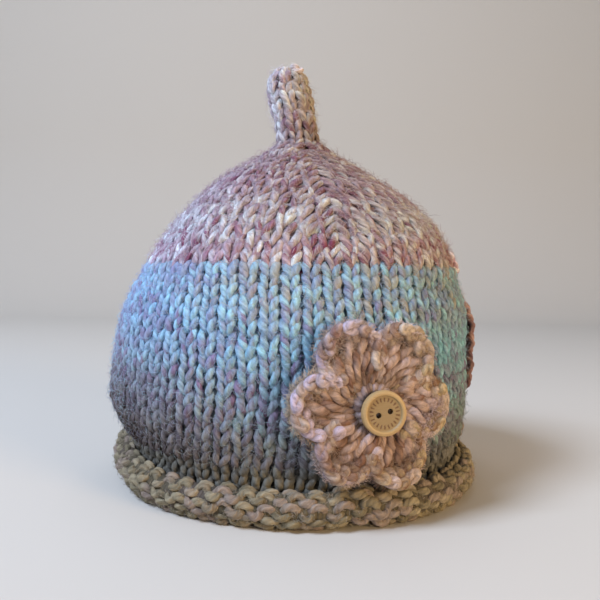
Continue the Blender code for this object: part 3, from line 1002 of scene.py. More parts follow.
@dataclass
class Stitch:
    """The shape of one loop of yarn, as its path through one stitch and one row.

    With s from 0 to 1 across the stitch: place across = s + splay sin(4 pi s) + close sin(2 pi s)
    - skew cos(2 pi s), place up = -rise cos(2 pi s), and depth = -depth cos(4 pi s). The two legs
    stand in front of the cloth and make the V, and the head and the foot lie behind it.
    """

    samples: int = 16
    sides: int = 6
    splay: float = 0.20
    close: float = 0.025
    skew: float = 0.02
    rise: float = 0.93
    depth: float = 1.2 * MM
    side: float = 1.45 * MM
    deep: float = 1.16 * MM
    front: bool = True  # whether the V's side is the one seen
    # Painted shade, by which the colour of the yarn's inner parts is darkened
    dim: float = 0.27  # how much darker its inner parts are
    uneven: float = 1.0
    # Unevenness of hand knitting, as (amount, spacing in stitches)
    across_noise: tuple[tuple[float, float], ...] = ((0.13, 0.5), (0.10, 1.0))
    rise_noise: tuple[tuple[float, float], ...] = ((0.12, 1.0),)
    up_noise: tuple[tuple[float, float], ...] = ((0.18, 1.0), (0.22, 6.0))
    depth_noise: tuple[tuple[float, float], ...] = ((0.5 * MM, 0.7), (0.4 * MM, 4.0))
    thick_noise: tuple[tuple[float, float], ...] = ((0.22, 0.6), (0.14, 3.0))

    def course(
        self, rng: np.random.Generator, count: int, closed: bool
    ) -> tuple[Array, Array, Array, Array]:
        """One row of stitches.

        Args:
            rng: source of the unevenness of hand knitting.
            count: stitches in the row.
            closed: whether the row goes right round.

        Returns:
            Place across in stitches, place up in rows, depth in metres and thickness as a share.
        """
        n = count * self.samples + (0 if closed else 1)
        s = np.arange(n) / self.samples
        loop = float(count) if closed else 0.0

        def noise(layers: tuple[tuple[float, float], ...]) -> Array:
            """Noise about 0: the sum of the layers, in proportion to the unevenness."""
            return sum(a * self.uneven * (wander(rng, s, spacing, loop) - 0.5) for a, spacing in layers)

        across = s + self.splay * np.sin(4 * np.pi * s) + self.close * np.sin(2 * np.pi * s)
        across = across - self.skew * np.cos(2 * np.pi * s) + noise(self.across_noise)
        up = -self.rise * (1.0 + noise(self.rise_noise)) * np.cos(2 * np.pi * s) + noise(self.up_noise)
        depth = -self.depth * np.cos(4 * np.pi * s) + noise(self.depth_noise)
        thick = 1.0 + noise(self.thick_noise)
        return across, up, depth, thick


@dataclass
class Halo:
    """Stray fibres that stand off the yarn and soften it.

    Each is a fine three-sided hair on the curve base + 2 t (1 - t) bend + t t tip.
    """

    length: float = 3.0 * MM
    radius: float = 0.06 * MM
    stand: float = 0.45  # share of the length by which the tip stands off the cloth
    # Least and most, as shares of the above
    lengths: tuple[float, float] = (0.45, 1.4)
    stands: tuple[float, float] = (0.1, 1.6)
    rises: tuple[float, float] = (0.2, 1.4)
    bend_lean: float = 0.25  # how far its bend and its tip lean aside
    tip_lean: float = 0.3
    rings: tuple[float, float] = (0.0, 0.55)  # where along it its two rings of points are

    def add(
        self, piece: Piece, rng: np.random.Generator, base: Array, out: Array, tone: tuple[Array, Array]
    ) -> None:
        """Adds one hair at each base.

        Args:
            piece: collects the hairs.
            rng: source of their lie.
            base: (n, 3) roots.
            out: (n, 3) directions off the cloth.
            tone: two (n, 3) colours.
        """
        n = len(base)
        lie = unit(np.cross(out, rng.normal(size=(n, 3))))
        cross = unit(np.cross(out, lie))
        size = self.length * rng.uniform(*self.lengths, (n, 1))
        stand = self.stand * rng.uniform(*self.stands, (n, 1))
        bend = size * (0.5 * lie + stand * out + rng.normal(size=(n, 1)) * self.bend_lean * cross)
        rise = stand * rng.uniform(*self.rises, (n, 1))
        tip = size * (lie + rise * out + rng.normal(size=(n, 1)) * self.tip_lean * cross)
        t = np.array(self.rings)[None, :, None]
        path = base[:, None, :] + 2 * t * (1 - t) * bend[:, None, :] + t * t * tip[:, None, :]
        turn = np.arange(3) * 2.0 * np.pi / 3.0
        section = (
            np.cos(turn)[None, None, :, None] * out[:, None, None, :]
            + np.sin(turn)[None, None, :, None] * cross[:, None, None, :]
        )
        rings = path[:, :, None, :] + self.radius * section
        points = np.concatenate([rings.reshape(n, 6, 3), (base + tip)[:, None, :]], axis=1)
        first = (np.arange(n) * 7)[:, None, None]
        k = np.arange(3)
        after = (k + 1) % 3
        quads = first + np.stack([k, after, after + 3, k + 3], axis=-1)[None, :, :]
        tips = first + np.stack([k + 3, after + 3, np.full(3, 6)], axis=-1)[None, :, :]
        ends = first + np.array([[[2, 1, 0]]])
        triangles = np.concatenate([tips, ends], axis=1)
        piece.add_faces(quads.reshape(-1, 4), np.zeros((n * 3, 4, 2)))
        piece.add_faces(triangles.reshape(-1, 3), np.zeros((n * 4, 3, 2)))
        points = points.reshape(-1, 3)
        points[:, 2] = np.maximum(points[:, 2], FLOOR_GAP)
        piece.add_points(points, tuple(np.repeat(c, 7, axis=0) for c in tone))


@dataclass
class Knitting:
    """The knitted cover: its hem, its two panels, its crown and its stalk, of one plied yarn."""

    form: CosyForm
    yarn: bpy.types.Material
    crown_yarn: bpy.types.Material
    fuzz: bpy.types.Material
    stitches: int = 56
    hem_rows: int = 10
    panel_rows: int = 17
    # Stitches in each quarter of the crown, row by row, as two are lost at each end of some rows
    quarters: tuple[int, ...] = (14, 14, 14, 12, 12, 12, 10, 10, 10, 8, 8, 8, 6, 6, 4, 4, 4, 2)
    stalk_rows: int = 9
    crown_turn: float = 25.714  # degrees past the front at which one decrease line stands
    crown_lean: float = 0.85  # how far a stitch leans along with its wale
    edge_inset: float = 1.2 * MM  # of a panel's yarn from the opening's edge
    ground_inset: float = 1.9 * MM  # of the ground sheet from it
    ground_back: float = 0.1 * MM  # how far the ground lies behind the cloth's middle
    ground_thick: float = 0.7 * MM
    ground_end: float = 0.6 * MM  # how far before the stalk's tip it ends
    ground_rows: tuple[int, int, int] = (16, 34, 40)  # of points on the hem, a panel and the crown
    # Painted shade in the gaps between the loops: the ground's colour as a share of the yarn's
    ground_painted_shade: float = 0.24
    turn_out: float = 0.22  # stitches by which the yarn bulges past a panel's edge as it turns
    turn_forward: float = 1.4  # times a stitch's depth by which it comes forward there
    fasten_off: float = 0.3  # rows left at the stalk's tip
    knot_gauge: float = 1.05 * MM
    knot_points: int = 48
    fuzz_root: float = 1.6 * MM  # how far off the cloth's middle the stray fibres start
    fuzz_clear: float = 1.5  # degrees that they keep from the openings
    fuzz_reach: float = 70.0 * MM  # reach of the cover from which on none is left out
    # Painted light: stray fibres are lighter than their yarn
    fuzz_painted_light: float = 1.2
    # Painted light and shade: the yarn's colour by how far it stands in front
    lit: float = 1.04  # brightness of the yarn that stands in front
    lit_depths: tuple[float, float] = (0.9 * MM, -0.7 * MM)  # depths where it is whole and where it ends
    accent_least: float = 0.2  # how much of the front's third colour shows at the left
    accent_gain: float = 0.75  # and how much more at the right
    accent_angles: tuple[float, float] = (235.0, 300.0)  # between these angles

    def lay(
        self,
        piece: Piece,
        stitch: Stitch,
        dye: Colourway,
        rng: np.random.Generator,
        angle: Array,
        length: Array,
        depth: Array,
        thick: Array,
        closed: bool,
        lip: float = 0.0,
    ) -> None:
        """Lays one run of yarn on the cloth's middle: each point is the middle plus the depth outwards.

        Args:
            piece: collects the yarn.
            stitch: gauge of the yarn, and which side of it is seen.
            dye: its colours.
            rng: source of their wandering.
            angle: degrees round the cover.
            length: metres along the cloth.
            depth: how far each point stands off the cloth's middle.
            thick: thickness as a share of the gauge.
            closed: whether the run goes right round.
            lip: 1 on the back panel, and 0 elsewhere.
        """
        middle, out = self.form.faced(angle, length, lip)
        path = middle + out * depth[:, None]
        tube = carry(path, out, stitch.side * thick, stitch.deep * thick, stitch.sides, closed)
        # The hem is pressed flat where it lies on the floor
        tube.points[:, 2] = np.maximum(tube.points[:, 2], FLOOR_GAP)
        # The front's accents grow towards the right
        third = 1.0
        if dye is FRONT_DYE:
            third = self.accent_least + self.accent_gain * smooth_step(*self.accent_angles, angle % 360.0)
        level = self.form.read("level", length) - dye.climb * bump(angle, 180.0, dye.climb_half)
        tone = dye.dye(rng, level, tube.along, third)
        # Painted shade: where the yarn dives behind its neighbours its colour is darkened, and where it
        # stands in front it is lightened a little as painted light
        shade = self.lit - stitch.dim * smooth_step(*self.lit_depths, depth if stitch.front else -depth)
        # The colours also carry the painted cool light of the left and the painted warm shade of the right
        piece.add_tube(tube, tuple(c * shade[:, None] * dye.drift(angle) for c in tone))

    def hem(self) -> bpy.types.Object:
        """The rolled hem, knitted in the round. Rolled outwards, it shows the back of its stitches.

        Returns:
            The piece.
        """
        rng = np.random.default_rng(11)
        piece = Piece("rolled_hem")
        stitch = Stitch(
            side=1.5 * MM, deep=1.2 * MM, depth=1.15 * MM, rise=0.88, splay=0.14, skew=0.06, uneven=1.7,
            front=False, dim=0.16,
        )
        row = self.form.marks["opening_bottom"] / self.hem_rows
        for j in range(self.hem_rows):
            across, up, depth, thick = stitch.course(rng, self.stitches, True)
            length = np.clip((j + 0.5 + up) * row, 0.0, None)
            angle = across * 360.0 / self.stitches
            self.lay(piece, stitch, BRIM_DYE, rng, angle, length, depth, thick, True)
        return piece.make(self.yarn)

    def half_edges(self, length: Array, first: float) -> tuple[Array, Array]:
        """Edges of one half of the belly, at the two openings.

        Args:
            length: metres along the cloth.
            first: angle at which the half starts: 0 for the back and 180 for the front.

        Returns:
            The angles in degrees of its two edges.
        """
        form = self.form
        gaps = (form.right_gap, form.left_gap) if first == 0.0 else (form.left_gap, form.right_gap)
        return first + form.gap(length, gaps[0]), first + 180.0 - form.gap(length, gaps[1])

    def panel(self, name: str, first: float, dye: Colourway, lip: float, seed: int) -> bpy.types.Object:
        """One half of the belly, knitted to and fro, its yarn turning up at each edge.

        Args:
            name: the piece's name.
            first: angle at which the panel starts: 0 for the back and 180 for the front.
            dye: its colours.
            lip: 1 for the back panel, whose edge stands out at the right opening.
            seed: seed of its unevenness.

        Returns:
            The piece.
        """
        form = self.form
        rng = np.random.default_rng(seed)
        piece = Piece(name)
        stitch = Stitch(uneven=1.25)
        half = self.stitches // 2
        start, end = form.marks["opening_bottom"], form.marks["opening_top"]
        row = (end - start) / self.panel_rows
        parts: list[list[Array]] = [[], [], [], []]
        for j in range(self.panel_rows):
            across, up, depth, thick = stitch.course(rng, half, False)
            length = start + (j + 0.5 + up) * row
            step = -1 if j % 2 else 1
            for part, values in zip(parts, (across, length, depth, thick)):
                part.append(values[::step])
            if j + 1 < self.panel_rows:
                # The turn at the edge: the yarn bulges past the edge and comes to the front
                t = np.linspace(0.0, 1.0, 8)[1:-1]
                edge = float(half) if step > 0 else 0.0
                parts[0].append(edge + step * self.turn_out * np.sin(np.pi * t))
                parts[1].append(length[::step][-1] + t * row)
                parts[2].append(stitch.depth * (self.turn_forward * np.sin(np.pi * t) - 1.0))
                parts[3].append(np.ones(len(t)))
        across, length, depth, thick = (np.concatenate(p) for p in parts)
        inset = np.degrees(self.edge_inset / form.read("front", length)) * form.read("slit", length)
        low, high = self.half_edges(length, first)
        angle = low + inset + across / half * (high - low - 2.0 * inset)
        self.lay(piece, stitch, dye, rng, angle, length, depth, thick, False, lip)
        return piece.make(self.yarn)

    def crown_angle(self, across: Array, length: Array, at_row: float, count: int) -> Array:
        """Angle of a place in a row of the crown.

        Each quarter's wales run side by side up its middle, and are cut short at its two edges.

        Args:
            across: place in the row, in stitches.
            length: metres along the cloth.
            at_row: length along the cloth of the row's middle.
            count: stitches in a quarter of this row.

        Returns:
            The angles in degrees.
        """
        rows = len(self.quarters)
        start, end = self.form.marks["opening_top"], self.form.marks["stalk"]
        middles = start + (np.arange(rows) + 0.5) * (end - start) / rows
        # The number of stitches falls in steps, and a mean over five rows makes it fall evenly
        padded = np.pad(np.array(self.quarters, float), 2, mode="edge")
        even = np.convolve(padded, np.full(5, 0.2), mode="valid")
        even[-1] = self.quarters[-1]
        here = np.interp(length, middles, even)
        own = float(np.interp(at_row, middles, even))
        quarter = np.floor(np.arange(len(across)) / len(across) * 4.0)
        from_middle = across - (quarter + 0.5) * count
        lean = (own / here) ** self.crown_lean
        return 270.0 + self.crown_turn + 45.0 + quarter * 90.0 + from_middle * 90.0 / count * lean

    def crown(self) -> bpy.types.Object:
        """The crown, knitted in the round and gathered by four lines of decreases.

        Returns:
            The piece.
        """
        rng = np.random.default_rng(23)
        piece = Piece("crown")
        stitch = Stitch(
            side=1.4 * MM, deep=1.0 * MM, depth=0.9 * MM, splay=0.235, rise=1.1, uneven=2.0, dim=0.19
        )
        start, end = self.form.marks["opening_top"], self.form.marks["stalk"]
        row = (end - start) / len(self.quarters)
        for j, count in enumerate(self.quarters):
            across, up, depth, thick = stitch.course(rng, 4 * count, True)
            middle = start + (j + 0.5) * row
            length = middle + up * row
            angle = self.crown_angle(across, length, middle, count)
            self.lay(piece, stitch, CROWN_DYE, rng, angle, length, depth, thick, True)
        return piece.make(self.crown_yarn)

    def stalk(self) -> bpy.types.Object:
        """The stalk, a narrow tube of the last stitches, drawn together and fastened off at its tip.

        Returns:
            The piece.
        """
        rng = np.random.default_rng(37)
        piece = Piece("stalk")
        stitch = Stitch(samples=20, sides=8, side=1.4 * MM, uneven=1.6, dim=0.32)
        start, end = self.form.marks["stalk"], self.form.marks["tip"]
        row = (end - start) / (self.stalk_rows + self.fasten_off)
        count = 4 * self.quarters[-1]
        for j in range(self.stalk_rows):
            across, up, depth, thick = stitch.course(rng, count, True)
            middle = start + (j + 0.5) * row
            length = np.minimum(middle + up * row, end)
            angle = self.crown_angle(across, np.maximum(length, start), middle, count // 4)
            self.lay(piece, stitch, CROWN_DYE, rng, angle, length, depth, thick, True)
        self.knot(piece, rng, CROWN_DYE, 330.0, end - 3.5 * MM, 1.6 * MM, 1.7 * MM)
        return piece.make(self.crown_yarn)

    def knot(
        self,
        piece: Piece,
        rng: np.random.Generator,
        dye: Colourway,
        angle: float,
        length: float,
        size: float,
        off: float,
        lip: float = 0.0,
    ) -> None:
        """Adds a small fastening knot: a trefoil, (2 + cos 3t) (cos 2t, sin 2t) and sin 3t, of the yarn.

        Args:
            piece: collects the knot.
            rng: source of its turn.
            dye: its colours.
            angle: degrees round the cover.
            length: metres along the cloth.
            size: a third of its outer reach.
            off: how far its middle stands off the cloth's middle.
            lip: 1 where it sits on the back panel.
        """
        middle, out = (v[0] for v in self.form.faced(np.array([angle]), np.array([length]), lip))
        lie = unit(np.cross(out, rng.normal(size=3)))
        cross = np.cross(out, lie)
        t = np.linspace(0.0, 2.0 * np.pi, self.knot_points, endpoint=False)
        reach = size * 0.5 * (2.0 + np.cos(3.0 * t))
        path = (
            middle
            + (off + 0.6 * size * np.sin(3.0 * t))[:, None] * out
            + (reach * np.cos(2.0 * t))[:, None] * lie
            + (reach * np.sin(2.0 * t))[:, None] * cross
        )
        facing = np.broadcast_to(out, path.shape)
        tube = carry(path, facing, self.knot_gauge, self.knot_gauge, 8, True)
        level = np.full(len(t), float(self.form.read("level", np.array([length]))[0]))
        piece.add_tube(tube, dye.dye(rng, level, tube.along))

    def joins(self) -> bpy.types.Object:
        """The knots at the ends of the two openings, where the panels part and join again.

        Returns:
            The piece.
        """
        rng = np.random.default_rng(53)
        piece = Piece("opening_joins")
        bottom, top = self.form.marks["opening_bottom"], self.form.marks["opening_top"]
        # (angle, length along the cloth, size in mm, stand-off in mm, dye)
        for angle, length, size, off, dye in (
            (181.5, top + 2.0 * MM, 1.4, 2.0, CROWN_DYE),
            (186.0, top + 5.0 * MM, 1.2, 1.9, CROWN_DYE),
            (-1.5, top, 1.4, 1.9, CROWN_DYE),
            (-4.0, top + 4.5 * MM, 1.1, 1.6, CROWN_DYE),
            (180.0, bottom + 7.5 * MM, 2.2, 2.2, BACK_DYE),
            (182.5, bottom + 4.0 * MM, 2.0, 1.8, BACK_DYE),
            (0.5, bottom + 2.0 * MM, 1.8, 1.5, BACK_DYE),
        ):
            self.knot(piece, rng, dye, angle, length, size * MM, off * MM)
        return piece.make(self.yarn)

    def halo(
        self,
        name: str,
        low: float,
        high: float,
        count: int,
        dye: Colourway,
        seed: int,
        first: float = 0.0,
        last: float = 360.0,
        size: float = 3.0 * MM,
    ) -> bpy.types.Object:
        """Stray fibres over the cloth between two lengths along it, clear of the openings.

        Args:
            name: the piece's name.
            low: length along the cloth where they start.
            high: length along the cloth where they end.
            count: fibres tried.
            dye: their colours.
            seed: seed of their places.
            first: angle where they start.
            last: angle where they end.
            size: their length.

        Returns:
            The piece.
        """
        form = self.form
        rng = np.random.default_rng(seed)
        piece = Piece(name)
        length = rng.uniform(low, high, count)
        # Fewer where the cover is narrow, so that they stay evenly spread
        keep = rng.random(count) < form.read("front", length) / self.fuzz_reach
        angle = rng.uniform(first, last, count)
        from_side = (angle + 90.0) % 180.0 - 90.0
        on_left = (angle > 90.0) & (angle < 270.0)
        gap = np.where(on_left, form.gap(length, form.left_gap), form.gap(length, form.right_gap))
        keep &= np.abs(from_side) > gap + self.fuzz_clear
        angle, length = angle[keep], length[keep]
        middle, out = form.faced(angle, length)
        # On the roll the cloth's outer side is its other one
        out = np.where((length < form.marks["foot"])[:, None], -out, out)
        order = np.argsort(length)
        tone = dye.dye(rng, form.read("level", length[order]), np.arange(len(order)) * 2.0 * MM)
        # Painted light: the fibres are lighter than their yarn, and carry the sides' painted light and shade
        tone = tuple(np.minimum(self.fuzz_painted_light * c * dye.drift(angle[order]), 1.0) for c in tone)
        base = (middle + self.fuzz_root * out)[order]
        Halo(length=size).add(piece, rng, base, out[order], tone)
        return piece.make(self.fuzz)

    def ground(self) -> bpy.types.Object:
        """The felted middle of the cloth: a thin sheet that closes the gaps between the loops, darkened as
        painted shade.

        Returns:
            The piece.
        """
        form = self.form
        piece = Piece("cloth_ground")
        bottom, top = form.marks["opening_bottom"], form.marks["opening_top"]

        def patch(lengths: Array, low: Array, high: Array, wrap: bool, lip: float, dye: Colourway) -> None:
            """Adds one patch of the sheet, a grid of even steps from one edge to the other.

            Args:
                lengths: lengths along the cloth of its rows.
                low: angle in degrees at which each row starts.
                high: angle at which each row ends.
                wrap: whether the rows go right round.
                lip: 1 on the back panel, and 0 elsewhere.
                dye: its colours.
            """
            share = np.linspace(0.0, 1.0, self.stitches + 1)
            if wrap:
                share = share[:-1]
            angle = low[:, None] + share[None, :] * (high - low)[:, None]
            length = np.broadcast_to(lengths[:, None], angle.shape)
            middle, out = form.faced(angle.ravel(), length.ravel(), lip)
            points = (middle - self.ground_back * out).reshape(*angle.shape, 3)
            rng = np.random.default_rng(5)
            one, two = dye.dye(rng, form.read("level", length.ravel()), angle.ravel() * 1.1 * MM)
            # Painted shade: the sheet is coloured as darkened yarn
            dark = (self.ground_painted_shade * (one + two)).reshape(points.shape)
            piece.add_grid(points, (dark, dark), wrap)

        def edges(lengths: Array, first: float) -> tuple[Array, Array]:
            """Edges of one half of the belly.

            Args:
                lengths: lengths along the cloth.
                first: angle at which the half starts: 0 for the back and 180 for the front.

            Returns:
                The angles in degrees of its two edges at those lengths.
            """
            low, high = self.half_edges(lengths, first)
            inset = np.degrees(self.ground_inset / form.read("front", lengths)) * form.read("slit", lengths)
            return low + inset, high - inset

        # The hem, the two panels, and the crown with the stalk
        around = np.linspace(0.0, bottom, self.ground_rows[0])
        patch(around, 0 * around, 0 * around + 360.0, True, 0.0, BRIM_DYE)
        up = np.linspace(bottom, top, self.ground_rows[1])
        patch(up, *edges(up, 0.0), False, 1.0, BACK_DYE)
        patch(up, *edges(up, 180.0), False, 0.0, FRONT_DYE)
        over = np.linspace(top, form.marks["tip"] - self.ground_end, self.ground_rows[2])
        patch(over, 0 * over, 0 * over + 360.0, True, 0.0, CROWN_DYE)
        made = piece.make(self.yarn)
        thick = made.modifiers.new("thickness", "SOLIDIFY")
        thick.thickness = self.ground_thick
        thick.offset = -1.0
        return made

    def build(self) -> dict[str, bpy.types.Object]:
        """Makes every piece of the cover, rides them on the root and says what they stand for.

        Returns:
            The pieces, by the names that the log gives them.
        """
        marks = self.form.marks
        hem = 2.0 * MM, marks["foot"] - 6.0 * MM
        belly = marks["opening_bottom"], marks["opening_top"]
        crown = marks["opening_top"], marks["tip"]
        pieces = {
            "hem": self.hem(),
            "front": self.panel("front_panel", 180.0, FRONT_DYE, 0.0, 13),
            "back": self.panel("back_panel", 0.0, BACK_DYE, 1.0, 17),
            "crown": self.crown(),
            "stalk": self.stalk(),
            "joins": self.joins(),
            "hem fuzz": self.halo("hem_fuzz", *hem, 4000, BRIM_DYE, 61, size=1.8 * MM),
            "front fuzz": self.halo("front_fuzz", *belly, 9000, FRONT_DYE, 67, 180.0, 360.0),
            "back fuzz": self.halo("back_fuzz", *belly, 5000, BACK_DYE, 68, 0.0, 180.0),
            "crown fuzz": self.halo("crown_fuzz", *crown, 28000, CROWN_DYE, 71, size=3.6 * MM),
        }
        ground = self.ground()
        for made in (ground, *pieces.values()):
            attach(made, "root")
            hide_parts("cosy_shell")
        return {"ground": ground, **pieces}


# The flower and its button


@dataclass
class Flower:
    """A six-petalled crocheted flower: fans of tall stitches, each edged with a chain of links."""

    form: CosyForm
    yarn: bpy.types.Material
    fuzz: bpy.types.Material
    turn: float = 31.2  # degrees from the front towards the right
    height: float = 41.4 * MM
    stand_off: float = 3.2 * MM  # from the cloth's middle to the flower's back
    tilt: float = 5.0
    drape: float = 0.45
    belly: float = 74.0 * MM
    petal_centre: float = 17.9 * MM
    petal_half: float = 11.6 * MM
    # (turn from the right in degrees, size)
    petals: tuple[tuple[float, float], ...] = (
        (-3.0, 0.99),
        (54.0, 1.03),
        (116.0, 1.01),
        (179.0, 0.985),
        (236.0, 0.955),
        (295.0, 0.99),
    )
    posts: int = 5
    links: int = 11
    edging_span: float = 250.0  # degrees of a petal's edge that the chains go round
    fan_gauge: float = 1.6 * MM
    fan_root: tuple[float, float] = (6.2 * MM, 1.2 * MM)  # least reach of a tall stitch's root, and more
    fan_tip: tuple[float, float] = (3.2 * MM, 0.8 * MM)  # least inset of its tip from the edge, and more
    fan_root_open: float = 25.0  # degrees to either side over which the roots open
    fan_bow: float = 0.09  # how far a stitch bows outwards, as a share of the petal's distance
    fan_winds: tuple[float, float] = (1.3, 0.4)  # least turns of its strands, and more
    fan_wide: float = 1.25 * MM  # how far a strand goes to the side of the stitch's line
    fan_high: float = 0.95 * MM  # and above it
    fan_thin: float = 0.62  # gauge at the root, as a share of that further out
    fan_arch: float = 1.6 * MM  # how far the middle of a stitch stands over its ends
    fan_wave: float = 0.7 * MM  # how far its height wanders
    edging_gauge: float = 1.4 * MM
    link_back: float = 0.15  # links by which a link starts behind its place
    link_long: tuple[float, float] = (1.4, 0.4)  # its length in links, and how far that varies
    link_shift: float = 0.2  # how far its place varies, in radians of the petal's edge
    link_wide: float = 1.1 * MM  # half its width ahead
    link_narrow: float = 0.6  # its width behind, as a share
    link_uneven: float = 0.6  # how far its width varies, as a share
    link_dip: float = 0.9 * MM  # how far its narrow end dips, and its front end rises
    link_stray: float = 1.5 * MM  # how far it strays outwards and upwards
    heart_gauge: float = 1.35 * MM
    heart_links: float = 9.0  # turns that its two strands wind round each other
    heart_reach: tuple[float, float] = (5.6 * MM, 1.2 * MM)  # its radius, and how far a strand swings
    heart_height: tuple[float, float] = (2.6 * MM, 1.0 * MM)  # its height, and how far a strand swings
    tie_gauge: float = 1.3 * MM
    tie_reach: tuple[float, float] = (7.0 * MM, 15.0 * MM)  # where a cleft's tie starts and ends
    tie_aside: tuple[float, float] = (0.9 * MM, 0.7 * MM)  # how far off the cleft it lies, and bows
    tie_height: tuple[float, float] = (2.4 * MM, 1.6 * MM)  # at its start and its end
    tie_arch: float = 1.3 * MM
    ground_inset: float = 1.2 * MM  # of the ground from the petals' outline
    # Painted shade under the stitches: the ground's colour as a share of the yarn's
    ground_painted_shade: float = 0.45
    # Painted shade and light of the yarn by its height in the flower
    shade_least: float = 0.28  # brightness of the deepest yarn
    shade_gain: float = 0.84
    shade_heights: tuple[float, float] = (1.2 * MM, 4.8 * MM)
    fuzz_inset: float = 0.4 * MM  # of the outermost fibres from the petals' outline
    fuzz_gauge: float = 0.065 * MM
    fuzz_stand: float = 0.55
    # Painted light: stray fibres are lighter than their yarn
    fuzz_painted_light: float = 1.3

    def directions(self) -> tuple[Array, Array, Array, Array]:
        """The flower's place and its own directions.

        Returns:
            The middle of its back, and its right, up and outward directions.
        """
        turn, tilt = math.radians(self.turn), math.radians(self.tilt)
        length = self.form.length_at(self.height)
        angle = np.array([270.0 + self.turn])
        middle = self.form.at(angle, np.array([length]))[0]
        level = np.array([math.sin(turn), -math.cos(turn), 0.0])
        right = np.array([math.cos(turn), math.sin(turn), 0.0])
        out = level * math.cos(tilt) + np.array([0.0, 0.0, math.sin(tilt)])
        return middle + level * self.stand_off, right, np.cross(out, right), out

    def place(self, right_m: Array, up_m: Array, out_m: Array) -> Array:
        """Places on the draped flower, which falls back by drape right^2 / (2 belly).

        Args:
            right_m: metres to its right.
            up_m: metres up along it.
            out_m: metres off its back.

        Returns:
            An array of places.
        """
        start, right, up, out = self.directions()
        fall = self.drape * right_m**2 / (2.0 * self.belly)
        return start + right_m[..., None] * right + up_m[..., None] * up + (out_m - fall)[..., None] * out

    def petal_reach(self, angle: Array) -> Array:
        """Reach of the outline: the furthest of the six round petals, each met by a line from the middle.

        Args:
            angle: radians round the flower from its right.

        Returns:
            The reach at those angles.
        """
        reach = np.zeros_like(angle)
        for degrees, size in self.petals:
            turn = angle - math.radians(degrees)
            centre, radius = self.petal_centre * size, self.petal_half * size
            under = radius**2 - (centre * np.sin(turn)) ** 2
            hit = (under > 0.0) & (np.cos(turn) > 0.0)
            found = centre * np.cos(turn) + np.sqrt(np.maximum(under, 0.0))
            reach = np.maximum(reach, np.where(hit, found, 0.0))
        return reach

    def ground(self) -> bpy.types.Object:
        """A soft closed body under the stitches, darkened as painted shade: rings from the middle of its
        face to that of its back.

        Returns:
            The piece.
        """
        piece = Piece("flower_ground")
        angle = np.linspace(0.0, 2.0 * np.pi, 120, endpoint=False)
        reach = self.petal_reach(angle) - self.ground_inset
        # (share of the reach, height above the back in mm)
        rings = (
            (0.002, 2.2), (0.25, 2.2), (0.5, 2.2), (0.7, 2.4), (0.85, 2.8), (0.94, 2.8), (1.0, 1.6),
            (0.96, 0.6), (0.8, 0.3), (0.4, 0.1), (0.002, 0.1),
        )
        share = np.array([r[0] for r in rings])[:, None] * reach[None, :]
        height = np.broadcast_to(np.array([r[1] for r in rings])[:, None] * MM, share.shape)
        points = self.place(share * np.cos(angle)[None, :], share * np.sin(angle)[None, :], height)
        rng = np.random.default_rng(3)
        tones = FLOWER_DYE.dye(rng, points[..., 2].ravel(), np.tile(reach * angle, len(rings)))
        # Painted shade: the body under the stitches is coloured as darkened yarn
        dark = tuple(self.ground_painted_shade * t.reshape(points.shape) for t in tones)
        piece.add_grid(points[::-1], dark, True)
        return piece.make(self.yarn)

    def lay(
        self, piece: Piece, rng: np.random.Generator, right: Array, up: Array, out: Array,
        side: Array | float, closed: bool = False, dye: Colourway = FLOWER_DYE,
    ) -> None:
        """Lays one run of yarn on the flower.

        Args:
            piece: collects the yarn.
            rng: source of its colours' wandering.
            right: metres to the flower's right, for each point.
            up: metres up along it.
            out: metres off its back.
            side: half the yarn's thickness.
            closed: whether the run's end joins its start.
            dye: its colours.
        """
        path = self.place(right, up, out)
        facing = np.broadcast_to(self.directions()[3], path.shape)
        tube = carry(path, facing, side, side, 8, closed, start=float(rng.random()))
        # Painted shade darkens the yarn deep in the flower and painted light brightens its highest yarn, and
        # the side multipliers paint cool light on its left and warm shade on its right
        shade = self.shade_least + self.shade_gain * smooth_step(*self.shade_heights, out)
        across = dye.drift(285.0 + 90.0 * right / (self.petal_centre + self.petal_half))
        tone = dye.dye(rng, path[:, 2], tube.along)
        piece.add_tube(tube, tuple(c * shade[:, None] * across for c in tone))

    def fans(self) -> bpy.types.Object:
        """Tall stitches from the flower's middle to the petals' edges, each two strands wound together.

        A stitch follows (1 - s)^2 root + 2 s (1 - s) control + s^2 tip, and its strands go round that line.

        Returns:
            The piece.
        """
        rng = np.random.default_rng(41)
        piece = Piece("petal_fans")
        s = np.linspace(0.0, 1.0, 26)
        for degrees, size in self.petals:
            theta = math.radians(degrees)
            centre = self.petal_centre * size * np.array([math.cos(theta), math.sin(theta)])
